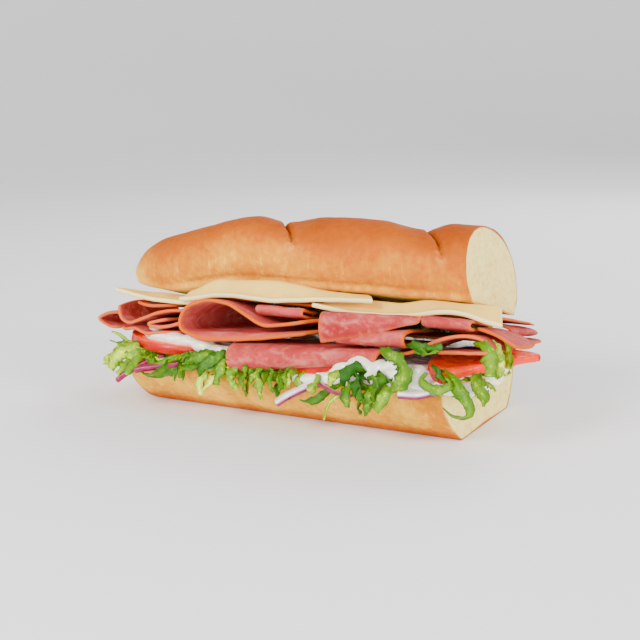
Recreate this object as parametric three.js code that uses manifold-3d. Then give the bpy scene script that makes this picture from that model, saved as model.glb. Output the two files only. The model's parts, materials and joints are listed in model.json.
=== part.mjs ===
// A submarine sandwich: half of a long soft roll, split lengthwise and filled with shredded lettuce,
// red onion, a thick white sauce, tomato slices, folded slices of ham and thin slices of cheese.
// Millimetres, +Z up. +X runs along the roll to its cut end, and -Y is the open side, where the
// crown is lifted and the filling hangs out over the heel of the bread.
import * as THREE from "three";
import { mergeVertices } from "three/addons/utils/BufferGeometryUtils.js";
import Module from "manifold-3d";

const wasm = await Module();
wasm.setup();

// Driving dimensions: the bread
const HEEL = { left: -82, cut: 69, halfWidth: 39, footHalfWidth: 25, height: 19, middle: 4, cap: 22 };
const CROWN = { left: -86, cut: 71, halfWidth: 30, height: 31.4, middle: 4.6, base: 44, tilt: 15, cap: 54 };
const CROWN_DROOP = 6.5; // how far the uncut end of the crown hangs lower than the rest
const SCORES = [-18, 42]; // where the baker's two slashes cross the ridge of the crown
const SCORE_SLANT = 0.66; // how far a slash runs along the roll for each millimetre across it

// Driving dimensions: the filling
const HAM_THICKNESS = 1.5;
const CHEESE_THICKNESS = 1.9;
const TOMATO_THICKNESS = 3.9;
const GAP = 0.35; // clearance between neighbours
const FRONT = -38; // y where the filling is at its full depth
const SQUEEZE = 0.0075; // share of depth that the filling loses for each millimetre further back

// Small maths
const { cos, sin, PI, abs, min, max, sqrt, sign } = Math;
const lerp = (a, b, t) => a + (b - a) * t;
const clamp = THREE.MathUtils.clamp;
const smooth = (a, b, t) => THREE.MathUtils.smoothstep((t - a) / (b - a), 0, 1);
const bump = (t, width) => Math.exp(-((t / width) ** 2));
const power = (x, n) => sign(x) * abs(x) ** n;

// The filling is a wedge. Its pieces are drawn as if it were as deep everywhere as at the open front,
// and squeezed then comes down towards the heel with the way back. unsqueezed is its inverse.
const share = (y) => 1 - SQUEEZE * (y - FRONT);
const squeezed = (p) => new THREE.Vector3(p.x, p.y, HEEL.height + (p.z - HEEL.height) * share(p.y));
const unsqueezed = (y, z) => HEEL.height + (z - HEEL.height) / share(y);

// Solids
function geometryOf(points, triangles) {
  const geometry = new THREE.BufferGeometry();
  const flat = points.flatMap((p) => [p.x, p.y, p.z]);
  geometry.setAttribute("position", new THREE.Float32BufferAttribute(flat, 3));
  geometry.setIndex(triangles.flat());
  return geometry;
}

function facingOut(points, triangles) {
  let volume = 0;
  for (const [a, b, c] of triangles) volume += points[a].dot(points[b].clone().cross(points[c]));
  return volume < 0 ? triangles.map(([a, b, c]) => [a, c, b]) : triangles;
}

function solidOf(points, triangles) {
  const merged = mergeVertices(geometryOf(points, facingOut(points, triangles)), 1e-4);
  return new wasm.Manifold(
    new wasm.Mesh({
      numProp: 3,
      vertProperties: merged.attributes.position.array,
      triVerts: new Uint32Array(merged.index.array),
    }),
  );
}

// Keeps the main body of a solid that a cut has left in several.
function largest(solid) {
  const bodies = solid.decompose();
  return bodies.reduce((best, body) => (body.volume() > best.volume() ? body : best));
}

// A closed skin over rings of points, each ring the same number of points round the same way.
function loft(rings) {
  const count = rings[0].length;
  const points = rings.flat();
  const triangles = [];
  for (let i = 0; i + 1 < rings.length; i++)
    for (let j = 0; j < count; j++) {
      const a = i * count + j;
      const b = i * count + ((j + 1) % count);
      triangles.push([a, b, b + count], [a, b + count, a + count]);
    }
  for (const [ring, first, flip] of [
    [rings[0], 0, true],
    [rings.at(-1), (rings.length - 1) * count, false],
  ]) {
    const centre = points.length;
    points.push(ring.reduce((s, p) => s.add(p), new THREE.Vector3()).divideScalar(count));
    for (let j = 0; j < count; j++) {
      const pair = [first + j, first + ((j + 1) % count)];
      triangles.push(flip ? [centre, pair[1], pair[0]] : [centre, pair[0], pair[1]]);
    }
  }
  return solidOf(points, triangles);
}

// A sheet of the given thickness over a middle surface place(u, v), with u and v from -1 to 1.
// Both faces are split into triangles alike, and grow widens it all round to cut a neighbour.
function sheet(place, across, along, thickness, grow = 0, settle = squeezed) {
  const at = (i, j) => place((2 * i) / across - 1, (2 * j) / along - 1);
  const grid = [];
  for (let i = 0; i <= across; i++)
    for (let j = 0; j <= along; j++) {
      const inner = at(i, j);
      const u = at(min(i + 1, across), j).sub(at(max(i - 1, 0), j));
      const v = at(i, min(j + 1, along)).sub(at(i, max(j - 1, 0)));
      const normal = u.clone().cross(v).normalize();
      if (i === 0 || i === across) inner.addScaledVector(u.normalize(), i ? grow : -grow);
      if (j === 0 || j === along) inner.addScaledVector(v.normalize(), j ? grow : -grow);
      grid.push([inner, normal]);
    }
  const half = thickness / 2 + grow;
  const top = grid.map(([p, n]) => p.clone().addScaledVector(n, half));
  const bottom = grid.map(([p, n]) => p.clone().addScaledVector(n, -half));
  const row = along + 1;
  const under = grid.length;
  const triangles = [];
  const quad = (a, b, c, d) => triangles.push([a, b, c], [a, c, d]);
  for (let i = 0; i < across; i++)
    for (let j = 0; j < along; j++) {
      const a = i * row + j;
      quad(a, a + row, a + row + 1, a + 1);
      quad(under + a, under + a + 1, under + a + row + 1, under + a + row);
    }
  for (let i = 0; i < across; i++)
    for (const [a, b] of [
      [(i + 1) * row, i * row],
      [i * row + along, (i + 1) * row + along],
    ])
      quad(a, b, under + b, under + a);
  for (let j = 0; j < along; j++)
    for (const [a, b] of [
      [j, j + 1],
      [across * row + j + 1, across * row + j],
    ])
      quad(a, b, under + b, under + a);
  return solidOf([...top, ...bottom].map(settle), triangles);
}

// Bread
// Heights and widths shrink to a round end towards the left, over a length called cap.
function endRound(x, { left, cap }, bluntness) {
  const t = clamp((x - left) / cap, 0, 1);
  return (1 - (1 - t) ** 2.3) ** (1 / bluntness);
}

function stations({ left, cap, cut }) {
  const list = [0.012, 0.04, 0.1, 0.19, 0.31, 0.46, 0.64, 0.82].map((step) => left + cap * step);
  for (let x = left + cap; x < cut - 4; x += 12) list.push(x);
  list.push(cut);
  return list;
}

// The crown's outline across the roll, in shares of its half width and height, from the back of its
// cut underside round the front and over the ridge.
function crownOutline() {
  const SHOULDER = 0.3;
  const UNDER = 0.82;
  const points = [];
  for (let i = 0; i < 4; i++) points.push([lerp(UNDER, -UNDER, i / 4), 0]);
  for (let i = 0; i < 3; i++) {
    const t = i / 3;
    points.push([-lerp(UNDER, 1, sin((t * PI) / 2)), SHOULDER * t]);
  }
  for (let i = 0; i <= 16; i++) {
    const angle = (PI * i) / 16;
    points.push([-power(cos(angle), 0.92), SHOULDER + (1 - SHOULDER) * power(sin(angle), 0.86)]);
  }
  for (let i = 2; i > 0; i--) {
    const t = i / 3;
    points.push([lerp(UNDER, 1, sin((t * PI) / 2)), SHOULDER * t]);
  }
  return points;
}

// The rings run slantwise along the slashes, and square to the roll at both of its ends.
function crownSlant(station) {
  const [first, second] = SCORES;
  if (station < first) return lerp(0, SCORE_SLANT, (station - CROWN.left) / (first - CROWN.left));
  return lerp(SCORE_SLANT, 0, max(0, (station - second) / (CROWN.cut - second)));
}

const crownTilt = THREE.MathUtils.degToRad(CROWN.tilt);
const crownDroop = (x) => CROWN_DROOP * smooth(-18, -64, x);

function crownRing(station) {
  const round = endRound(station, CROWN, 1.9);
  const blunt = endRound(station, CROWN, 3.4);
  const core = 0.3 * CROWN.height;
  return crownOutline().map(([side, height]) => {
    let v = side * CROWN.halfWidth * lerp((round + blunt) / 2, round, smooth(0, 0.8, height));
    const above = height * CROWN.height - core;
    let w = core + above * (above > 0 ? round : blunt);
    const onTop = smooth(0.4, 0.75, height);
    let swell = 0;
    for (const score of SCORES)
      swell -= onTop * (3.8 * bump(station - score, 1.6) + 2.8 * bump(station - score, 8));
    swell -= onTop * 1.2 * bump(station + 44, 16);
    w += swell * height;
    v += swell * side * 0.4;
    const lean = 2.2 * height * smooth(45, CROWN.cut, station);
    const x = station - crownSlant(station) * v - lean;
    return new THREE.Vector3(
      x,
      CROWN.middle + v * cos(crownTilt),
      CROWN.base - crownDroop(x) - v * sin(crownTilt) + w * cos(crownTilt),
    );
  });
}

function crown() {
  const plain = stations(CROWN).filter((x) => SCORES.every((score) => abs(x - score) > 4.4));
  for (const score of SCORES) plain.push(score - 3.2, score - 1.3, score, score + 1.3, score + 3.2);
  return loft(plain.sort((a, b) => a - b).map(crownRing));
}

// The heel's outline, from the front of its flat foot round the back and over its cut top.
function heelOutline() {
  const foot = HEEL.footHalfWidth / HEEL.halfWidth;
  const points = [];
  for (let i = 0; i < 4; i++) points.push([lerp(-foot, foot, i / 4), 0]);
  const wall = (t) => [lerp(foot, 1, sin((t * PI) / 2) ** 0.85), 0.95 * t];
  for (let i = 0; i <= 6; i++) points.push(wall((i / 6) ** 1.5));
  points.push([0.985, 1]);
  for (let i = 1; i < 6; i++) points.push([lerp(0.985, -0.985, i / 6), 1]);
  points.push([-0.985, 1]);
  for (let i = 6; i > 0; i--) {
    const [side, height] = wall((i / 6) ** 1.5);
    points.push([-side, height]);
  }
  return points;
}

function heelRing(station, grow = 0) {
  const round = endRound(station, HEEL, 2.3);
  return heelOutline().map(([side, height]) => {
    const flare = 3 * (1 - height) * smooth(-50, -80, station);
    const lean = 3 * height * smooth(50, HEEL.cut, station);
    return new THREE.Vector3(
      station + flare - lean,
      HEEL.middle + side * (HEEL.halfWidth * round + grow),
      height * HEEL.height + (height > 0.5 ? grow : -grow),
    );
  });
}

function heel(grow = 0) {
  return loft(stations(HEEL).map((x) => heelRing(x, grow)));
}

// Height of the crown's cut underside over a point of the filling.
function crownUnderside(x, y) {
  return CROWN.base - crownDroop(x) - (y - CROWN.middle) * Math.tan(crownTilt);
}

// Round slices
// A square of u and v becomes a disc, or for squareness above 0 something between the two.
function disc(u, v, squareness = 0) {
  const k = (1 - squareness) / 2;
  return [u * sqrt(1 - k * v * v), v * sqrt(1 - k * u * u)];
}

// A smooth curve through pairs of numbers, run along by length or, if even is false, by its pairs.
function curveThrough(pairs, even = true) {
  const curve = new THREE.SplineCurve(pairs.map(([a, b]) => new THREE.Vector2(a, b)));
  curve.arcLengthDivisions = 400;
  return (t) => (even ? curve.getPointAt(clamp(t, 0, 1)) : curve.getPoint(clamp(t, 0, 1)));
}

// Folded ham. A slice is a disc that follows a profile. With along "y" the profile is seen from the
// open front, in x and z, and the slice runs back from there. With along "x" it is seen from the end
// of the roll, in y and z, and the slice runs along the roll from x = from to x = to. The profile
// swells by the factor taper about a pivot, and moves by drift, from one end of the run to the other.
// hem lets the front edge of part of the profile curl down.
const HAM = {
  ham_tongue: {
    along: "y", from: -28, to: 4, grid: [10, 4], squareness: 0.4,
    profile: [[-77, 36.4], [-82, 36], [-86.4, 33], [-82, 30], [-77, 29.8]],
  },
  ham_cup: {
    along: "y", from: -33.5, to: 12, grid: [14, 4], squareness: 0.5,
    profile: [[-74.2, 42.6], [-73.8, 38], [-71.5, 34.4], [-67, 33.4], [-60, 36.2], [-50, 39.8], [-41.5, 40.8]],
  },
  ham_upper_left: {
    along: "y", from: -31.5, to: 12, grid: [6, 4], squareness: 0.4,
    profile: [[-68, 42], [-60, 41.4], [-53, 41.8], [-47, 42.4]],
  },
  ham_lower_left: {
    along: "y", from: -35, to: 12, grid: [12, 4], squareness: 0.5,
    profile: [[-73.5, 31.6], [-70, 30.6], [-64, 31.6], [-58, 30.2], [-50, 31], [-43, 31.2]],
  },
  ham_hook: {
    along: "y", from: -35, to: 8, grid: [12, 3], squareness: 0.6,
    profile: [[-41, 36.6], [-45, 34.9], [-51, 33.2], [-55.6, 33], [-57, 34], [-54.6, 34.9], [-49, 36.6]],
  },
  ham_big_loop: {
    along: "y", from: -39, to: 12, grid: [24, 5], squareness: 0.55,
    profile: [
      [19.5, 43], [8, 40.4], [-1, 38.6], [-6, 39.4], [-11, 42], [-18, 45.2], [-24.5, 46], [-31, 45.2],
      [-37, 41.8], [-39.5, 37], [-38.5, 33.8], [-34, 32.8], [-20, 33.6], [0, 35.3], [20, 38.4],
    ],
    hem: { start: 0.52, end: 0.62, edge: -34.2, radius: 3.4 },
  },
  ham_middle_roll: {
    along: "x", from: -9, to: 10, grid: [12, 3], squareness: 0.75,
    profile: [
      [-18, 44.8], [-24, 44.8], [-28, 45.2], [-31, 45.6], [-32.8, 44.5], [-31.4, 43.2], [-28, 42.75], [-22, 42.6],
      [-18, 42.6],
    ],
  },
  ham_low_roll: {
    along: "x", from: -17, to: 44, grid: [12, 5], squareness: 0.75,
    profile: [
      [-14, 30], [-26, 29.9], [-34, 29.9], [-39, 29.4], [-42, 27.6], [-43, 24.6], [-42.4, 21.6], [-40.6, 20.2],
    ],
    pivot: [-38, 29], taper: [1, 0.36], drift: [1, 4],
  },
  ham_point: {
    along: "x", from: 21.5, to: 58, grid: [12, 5], squareness: 0.85,
    profile: [
      [-14, 41.8], [-23, 42], [-30, 42.8], [-35, 45], [-38.6, 45], [-40.6, 42], [-41, 38], [-40, 34.2],
    ],
    pivot: [-36, 45.6], taper: [1, 0.16], drift: [1.2, 1.4],
  },
  ham_orange_roll: {
    along: "x", from: 26, to: 54, grid: [12, 3], squareness: 0.8,
    profile: [
      [-15, 39], [-25, 39], [-33, 39], [-37, 38.2], [-38, 36.8], [-36.6, 35.3], [-32, 34.9], [-24, 34.9],
      [-15, 34.9],
    ],
    pivot: [-30, 35], taper: [0.8, 1.35], drift: [0, 1.3],
  },
  ham_right_loop: {
    along: "y", from: -36, to: -8, grid: [16, 4], squareness: 0.6,
    profile: [
      [47, 32.8], [52, 33.2], [57, 35.2], [62, 38], [68, 40.6], [73, 41.8], [78, 42], [82, 41],
      [84.3, 38.8], [83, 36.8], [78, 36.2], [68, 35.4], [62, 34.2],
    ],
  },
  ham_right_roll: {
    along: "x", from: 59, to: 76, grid: [12, 2], squareness: 0.8,
    profile: [
      [-13, 46.8], [-22, 47], [-29, 47.3], [-33.4, 47.1], [-35, 45.8], [-33.4, 44.6], [-29, 44.4], [-22, 44.3],
      [-13, 44.2],
    ],
  },
  ham_right_strip: {
    along: "y", from: -32, to: -8, grid: [6, 4], squareness: 0.5,
    profile: [[76.5, 45], [80, 44.6], [86, 42.6], [92, 39]],
  },
  ham_end_upper: {
    along: "y", from: -6, to: 24, grid: [10, 4], squareness: 0.5,
    profile: [[46, 47.4], [62, 47.4], [76, 47.2], [81.5, 44.8], [79, 42.2], [70, 41.8], [54, 42]],
  },
  ham_end_lower: {
    along: "y", from: -6, to: 26, grid: [7, 4], squareness: 0.5,
    profile: [[34, 37], [50, 37.6], [66, 38.6], [78, 39.4], [86, 38.8]],
  },
  ham_back_left: {
    along: "x", from: -64, to: -22, grid: [9, 3], squareness: 0.6,
    profile: [[14, 40.6], [26, 40.2], [33.6, 39], [37, 36.4], [34, 33.6], [26, 32.6], [14, 32.4]],
  },
  ham_back_middle: {
    along: "x", from: -19, to: 31, grid: [9, 3], squareness: 0.6,
    profile: [[14, 45], [25, 44.6], [33, 43.4], [36.4, 39.6], [33, 35.6], [26, 34.4], [14, 34.2]],
  },
  ham_back_upper: {
    along: "x", from: -20, to: 28, grid: [6, 4], squareness: 0.6,
    profile: [[14, 47.6], [24, 47.6], [32, 47.8], [37.5, 45.8]],
  },
  ham_top_middle: {
    along: "x", from: -38, to: 27, grid: [6, 5], squareness: 0.7,
    profile: [[-25.5, 47.7], [-16, 48.8], [-4, 49], [10, 49.4]],
  },
  ham_top_right: {
    along: "x", from: 30, to: 81, grid: [7, 5], squareness: 0.7,
    profile: [[-21.5, 47.8], [-17, 48.1], [0, 48.3], [16, 48.5], [30, 48.2]],
    drift: [0, 1.9],
  },
};

function hamPlace(cut) {
  const point = curveThrough(cut.profile);
  const middle = (cut.from + cut.to) / 2;
  const half = (cut.to - cut.from) / 2;
  const [pivotA, pivotB] = cut.pivot ?? [0, 0];
  const [taper0, taper1] = cut.taper ?? [1, 1];
  const [driftA, driftB] = cut.drift ?? [0, 0];
  return (u, v) => {
    const [s, t] = disc(u, v, cut.squareness);
    const way = (1 + s) / 2;
    const along = (1 + t) / 2;
    const p = point(way);
    const size = lerp(taper0, taper1, along);
    const a = pivotA + (p.x - pivotA) * size + driftA * along;
    let z = pivotB + (p.y - pivotB) * size + driftB * along;
    const run = middle + half * t;
    let [x, y] = cut.along === "x" ? [run, a] : [a, run];
    if (cut.hem) {
      // Past its edge the sheet turns down over a round of the hem's radius.
      const { start, end, edge, radius } = cut.hem;
      const past = max(0, edge - y) * smooth(start, end, way);
      const turn = min(past / radius, PI / 2);
      y += past - radius * sin(turn);
      z -= radius * (1 - cos(turn)) + max(0, past - (radius * PI) / 2);
    }
    return new THREE.Vector3(x, y, z);
  };
}

function ham(name, grow = 0) {
  const cut = HAM[name];
  return sheet(hamPlace(cut), ...cut.grid, HAM_THICKNESS, grow);
}

// Cheese. Each slice is a triangle, given by its three corners in plan. It lies against the crown's
// cut underside and bends down where it comes out in front of the bread.
// under is how far below that underside it lies, from its left end to its right, lip the height of its
// hanging front edge, turn how far in from that edge it has come level with the bread, and rise how
// far it bulges up in front of the edge of the bread.
const CHEESE = {
  cheese_left: {
    corners: [[-75, -31.5], [-38, -30.5], [-48, 14]], under: [1.8, 4.1], step: [0.35, 0.6], turn: 10,
    lip: [45.4, 44, 43, 42.9, 43.1], rise: [0, 0],
  },
  cheese_middle: {
    corners: [[-43, -33], [38, -32], [0, 22]], under: [1.8, 1.8], step: [0, 1], turn: 6,
    lip: [44.6, 47.6, 47.2, 49.2, 50.2], rise: [-1.3, 1.4, 1.2, 1.7, 1.9, 1.2, 0, -0.5, -0.9],
  },
  cheese_right: {
    corners: [[14, -31], [86, -31], [58, 24]], under: [4.2, 1.7], step: [0.36, 0.6], turn: 10,
    lip: [46.5, 44.9, 45.8, 48.4, 45.6], rise: [0, 0],
  },
};

const evenly = (heights) => curveThrough(heights.map((z, i) => [i / (heights.length - 1), z]), false);

function cheesePlace({ corners, under, step, turn, lip, rise }) {
  const [a, b, c] = corners;
  const edge = evenly(lip);
  const bulge = evenly(rise);
  return (u, v) => {
    const s = (1 + u) / 2;
    const t = (1 + v) / 2;
    const x = lerp(lerp(a[0], b[0], s), lerp(c[0] - 6, c[0] + 6, s), t);
    const y = lerp(lerp(a[1], b[1], s), c[1], t);
    const below = lerp(...under, smooth(...step, s)) * share(y) - bulge(s).y * bump(y + 26.5, 3.2);
    const front = unsqueezed(a[1], edge(s).y);
    const inside = unsqueezed(y, crownUnderside(x, y) - below);
    return new THREE.Vector3(x, y, lerp(front, inside, smooth(a[1] + 0.5, a[1] + turn, y)));
  };
}

function cheese(name, grow = 0) {
  return sheet(cheesePlace(CHEESE[name]), 9, 5, CHEESE_THICKNESS, grow);
}

// Tomato. A round slice, tilted, and for the last one cut in half.
const TOMATOES = {
  tomato_left: { middle: [-50, -13], radius: 25, height: 25.8, rise: [-0.06, 0.02], from: 0, to: 2 },
  tomato_middle: { middle: [18, -12.4], radius: 25.4, height: 24.5, rise: [0.1, 0], from: 0, to: 2 },
  tomato_right: { middle: [80, -23.5], radius: 21, height: 30.2, rise: [0.03, 0.17], from: 0.308, to: 1.308 },
};

function tomatoPlace({ middle, radius, height, rise, from, to }) {
  const whole = to - from === 2;
  return (u, v) => {
    let across, along;
    if (whole) [across, along] = disc(u, v).map((t) => t * radius);
    else {
      const angle = lerp(from, to, (1 + u) / 2) * PI;
      const reach = lerp(0.04, 1, (1 + v) / 2) * radius;
      [across, along] = [reach * cos(angle), reach * sin(angle)];
    }
    const z = height + rise[0] * across + rise[1] * along;
    return new THREE.Vector3(middle[0] + across, middle[1] + along, z);
  };
}

function tomato(name, grow = 0) {
  const slice = TOMATOES[name];
  const whole = slice.to - slice.from === 2;
  return sheet(tomatoPlace(slice), whole ? 6 : 10, whole ? 6 : 2, TOMATO_THICKNESS, grow);
}

// Red onion. A strip of a ring: an arc of the given bend, from a point in the filling to its tip.
const ONIONS = {
  onion_left_tip: { root: [-50, -35, 21.4], tip: [-65, -45.5, 12.4], bend: 1.5, height: 2.2, width: 2.6 },
  onion_left: { root: [-34, -36, 20.8], tip: [-56, -45.5, 17.4], bend: 0.6, height: 2.4, width: 3 },
  onion_middle: { root: [27, -33, 21.8], tip: [7.5, -47, 12.6], bend: 1.8, height: 2.6, width: 4 },
  onion_thread: { root: [21, -42, 20.6], tip: [37, -46, 18.4], bend: -0.8, height: 1.2, width: 1.5 },
  onion_right: { root: [67, -39, 22.4], tip: [54.5, -45.4, 21], bend: -0.6, height: 2.4, width: 4.4 },
};

function onionPlace({ root, tip, bend, width }) {
  const start = new THREE.Vector3(...root);
  const end = new THREE.Vector3(...tip);
  const side = end.clone().sub(start).cross(new THREE.Vector3(0, 0, 1)).normalize();
  return (u, v) => {
    const t = (1 + u) / 2;
    const p = start.clone().lerp(end, t);
    p.z += bend * 4 * t * (1 - t);
    return p.addScaledVector(side, (width / 2) * v);
  };
}

function onion(name, grow = 0) {
  return sheet(onionPlace(ONIONS[name]), 7, 1, ONIONS[name].height, grow, (p) => p);
}

// Sauce: a thick uneven layer over the lettuce, that lies round the tomato and shows at the sides,
// with dollops that have run out of it, each by its middle and its reach.
const SAUCE = { low: 23, high: 28.6, left: -64, right: 70, front: -35, back: 35 };
const DOLLOPS = [
  [[31, -35.5, 26.2], [7, 4.2, 4.2]],
  [[52, -36.5, 25.4], [4.6, 4.4, 4.8]],
  [[73, -33, 23.6], [6.4, 5.4, 4.8]],
  [[77, -8, 25.6], [6, 8, 3.8]],
];

function dollop([middle, reach], grow) {
  const at = new THREE.Vector3(...middle);
  const rings = [0.12, 0.38, 0.62, 0.88].map((way) => {
    const ring = [];
    for (let n = 0; n < 8; n++) {
      const turn = (n * PI) / 4;
      const p = new THREE.Vector3(cos(turn) * sin(way * PI), sin(turn) * sin(way * PI), -cos(way * PI));
      ring.push(p.multiply(new THREE.Vector3(...reach).addScalar(grow)).add(at));
    }
    return ring;
  });
  return loft(rings);
}

function sauceLayer(grow) {
  const place = (u, v, up) => {
    const [s, t] = disc(u, v, 0.75);
    const lump = 1.3 * sin(9.3 * u + 1.1) + 0.9 * sin(21 * u + 2.3);
    const x = lerp(SAUCE.left, SAUCE.right, (1 + s) / 2) + s * grow;
    const y = lerp(SAUCE.front, SAUCE.back, (1 + t) / 2) + t * grow + lump * abs(v) ** 3;
    const z = up ? SAUCE.high + 0.7 * sin(x / 4.2 + y / 9) + grow : SAUCE.low - grow;
    return squeezed(new THREE.Vector3(x * (up ? 0.985 : 1), y * (up ? 0.97 : 1), z));
  };
  return slab(place, 14, 2);
}

const sauce = (grow = 0) => wasm.Manifold.union([sauceLayer(grow), ...DOLLOPS.map((row) => dollop(row, grow))]);

// A slab with its upper and lower faces both placed by u and v, joined at the rim.
function slab(place, across, along) {
  const grid = (up) => {
    const points = [];
    for (let i = 0; i <= across; i++)
      for (let j = 0; j <= along; j++) points.push(place((2 * i) / across - 1, (2 * j) / along - 1, up));
    return points;
  };
  const row = along + 1;
  const under = row * (across + 1);
  const triangles = [];
  const quad = (a, b, c, d) => triangles.push([a, b, c], [a, c, d]);
  for (let i = 0; i < across; i++)
    for (let j = 0; j < along; j++) {
      const a = i * row + j;
      quad(a, a + row, a + row + 1, a + 1);
      quad(under + a, under + a + 1, under + a + row + 1, under + a + row);
    }
  const rim = [];
  for (let i = 0; i < across; i++) rim.push(i * row);
  for (let j = 0; j < along; j++) rim.push(across * row + j);
  for (let i = across; i > 0; i--) rim.push(i * row + along);
  for (let j = along; j > 0; j--) rim.push(j);
  rim.forEach((a, n) => {
    const b = rim[(n + 1) % rim.length];
    quad(b, a, under + a, under + b);
  });
  return solidOf([...grid(true), ...grid(false)], triangles);
}

// Lettuce: a bed on the heel, with shreds that stand out of it all round and hang over the bread.
const BED = { low: 19.4, high: 22.6, left: -66, right: 67, front: -35.5, back: 40 };

function bed() {
  const place = (u, v, up) => {
    const [s, t] = disc(u, v, 0.7);
    const x = lerp(BED.left, BED.right, (1 + s) / 2);
    const y = lerp(BED.front, BED.back, (1 + t) / 2) + 0.8 * sin(x / 3.1);
    return up ? squeezed(new THREE.Vector3(x, y, BED.high)) : new THREE.Vector3(x, y, BED.low);
  };
  return slab(place, 10, 2);
}

// A shred by its root in the bed (x, y), its tip (x, y, z), how high it arches on the way out, its
// width, and its twist from root to tip in quarter turns.
const FRONT_SHREDS = [
  [[-63, -31], [-75, -42, 19], 1.4, 9, 0.5],
  [[-62, -33], [-70, -45, 14.6], 1.6, 8, -0.4],
  [[-58, -33], [-64, -44, 17], 1.2, 8, 0.6],
  [[-63, -33], [-74.5, -41, 27], 3.4, 2.4, 0.3],
  [[-64, -32], [-73, -44, 24], 2.6, 2, -0.3],
  [[-48, -34], [-44, -43, 15.6], 1.4, 8, 0.3],
  [[-38, -34], [-36, -42, 18], 1, 8, -0.5],
  [[-30, -34], [-32, -44, 17], 2, 7, 0.8],
  [[-25, -34], [-19, -45, 20.5], 1.8, 7, -0.9],
  [[-18, -34], [-15, -46, 13], 1.6, 9, 0.5],
  [[-10, -34], [-7, -45, 13.6], 1.8, 9, -0.4],
  [[-3, -34], [1, -45, 16], 1.6, 8, 0.7],
  [[7, -34], [6, -43, 17.6], 1.2, 8, -0.5],
  [[25, -34], [15, -46, 12.6], 1.6, 2.4, 0.4],
  [[28, -34], [25, -44, 16.6], 1.4, 9, 0.6],
  [[35, -34], [36, -46, 12.6], 1.8, 10, -0.4],
  [[41, -34], [46, -46, 14.6], 1.6, 9, 0.7],
  [[36, -35], [32, -44, 23.6], 2.4, 8, 1],
  [[47, -34], [50, -44, 21], 2, 8, -0.8],
  [[50, -35], [46, -43.4, 29], 3, 5, 1.2],
  [[54, -35], [63, -43, 31.6], 4, 4.6, 0.9],
  [[57, -34], [58, -44, 16.6], 1.8, 6, 0.5],
  [[62, -34], [77, -43, 12.4], 2.4, 4, 0.8],
  [[63, -30], [75, -38, 14], 2, 7, -0.6],
  [[62, -34], [84, -38.5, 29], 2, 7, 1.1],
];
const END_SHREDS = [
  [[61, -18], [76, -20, 12], 1.6, 9, 0.3],
  [[61, -4], [77, -2, 20], 1.8, 9, -0.7],
  [[61, 12], [76, 14, 15], 1.6, 9, 0.5],
  [[60, 26], [75, 31, 17], 1.4, 8, -0.5],
  [[-60, -16], [-76, -20, 21.4], 1, 9, 0.2],
  [[-60, 2], [-77, 2, 21.6], 1.2, 9, -0.2],
  [[-60, 20], [-75, 24, 21.4], 1, 9, 0.2],
];

// The shreds of the closed side, set out by a rule.
function backShreds() {
  const list = [];
  for (let n = 0; n < 9; n++) {
    const x = -54 + n * 13.4 + 2 * sin(n * 5.1);
    const tip = [x + 5 * sin(n * 2.4), 48 + 1.4 * sin(n * 3.3), 15.6 + 2.4 * sin(n * 1.7)];
    list.push([[x, 33], tip, 1.4, 8 + sin(n * 4.2), 0.7 * sin(n * 2.9)]);
  }
  return list;
}

function shredPlace([[rootX, rootY], [x, y, z], arch, width, twist]) {
  const height = HEEL.height + 2.1 * share(rootY);
  const root = new THREE.Vector3(rootX, rootY, height);
  const way = new THREE.Vector3(x - rootX, y - rootY, 0);
  const side = new THREE.Vector3(-way.y, way.x, 0).normalize();
  const at = (part, level) => root.clone().addScaledVector(way, part).setZ(level);
  const path = new THREE.CatmullRomCurve3([
    root,
    at(0.4, height + arch),
    at(0.85, lerp(height + arch * 0.6, z, 0.4)),
    at(1, z),
  ]);
  return (u, v) => {
    const t = (1 + u) / 2;
    const angle = (twist * t * PI) / 2;
    const out = v * (width / 2) * (0.7 + 0.4 * sin(t * PI) + 0.12 * sin(9 * t + rootX));
    const p = path.getPoint(t).addScaledVector(side, out * cos(angle));
    p.z += out * sin(angle);
    return p;
  };
}

function lettuce() {
  const shred = (row, segments) => sheet(shredPlace(row), segments, 1, 0.9, 0, (p) => p);
  const front = FRONT_SHREDS.map((row) => shred(row, 4));
  const rest = [...END_SHREDS, ...backShreds()].map((row) => shred(row, 3));
  return wasm.Manifold.union([bed(), ...front, ...rest]);
}

// Materials
const finish = (color, roughness) => new THREE.MeshStandardMaterial({ color, roughness, metalness: 0 });
const CRUST = finish(0xc98a45, 0.6);
const HAM_PINK = finish(0xc9757a, 0.45);
const CHEESE_CREAM = finish(0xefe3b4, 0.4);
const TOMATO_RED = finish(0xd9301c, 0.25);
const ONION_PURPLE = finish(0xa02f6f, 0.35);
const SAUCE_WHITE = finish(0xf6f3e8, 0.3);
const LETTUCE_GREEN = finish(0x7fae3a, 0.45);

// The sandwich
const solids = new Map();
const names = (table) => Object.keys(table);
solids.set("bread_heel", [heel(), CRUST]);
solids.set("bread_crown", [crown(), CRUST]);
for (const name of names(HAM)) solids.set(name, [ham(name), HAM_PINK]);
for (const name of names(CHEESE)) solids.set(name, [cheese(name), CHEESE_CREAM]);
for (const name of names(TOMATOES)) solids.set(name, [tomato(name), TOMATO_RED]);
for (const name of names(ONIONS)) solids.set(name, [onion(name), ONION_PURPLE]);

// What is soft gives way to what is firm: the sauce to the slices, and the lettuce to all of them.
const firm = [
  ...names(TOMATOES).map((name) => tomato(name, GAP)),
  ...names(ONIONS).map((name) => onion(name, GAP)),
  ...names(HAM).map((name) => ham(name, GAP)),
  heel(GAP),
];
const firmest = wasm.Manifold.union(firm);
solids.set("sauce", [largest(sauce().subtract(firmest)), SAUCE_WHITE]);
solids.set("lettuce", [largest(lettuce().subtract(firmest.add(sauce(GAP)))), LETTUCE_GREEN]);

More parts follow.
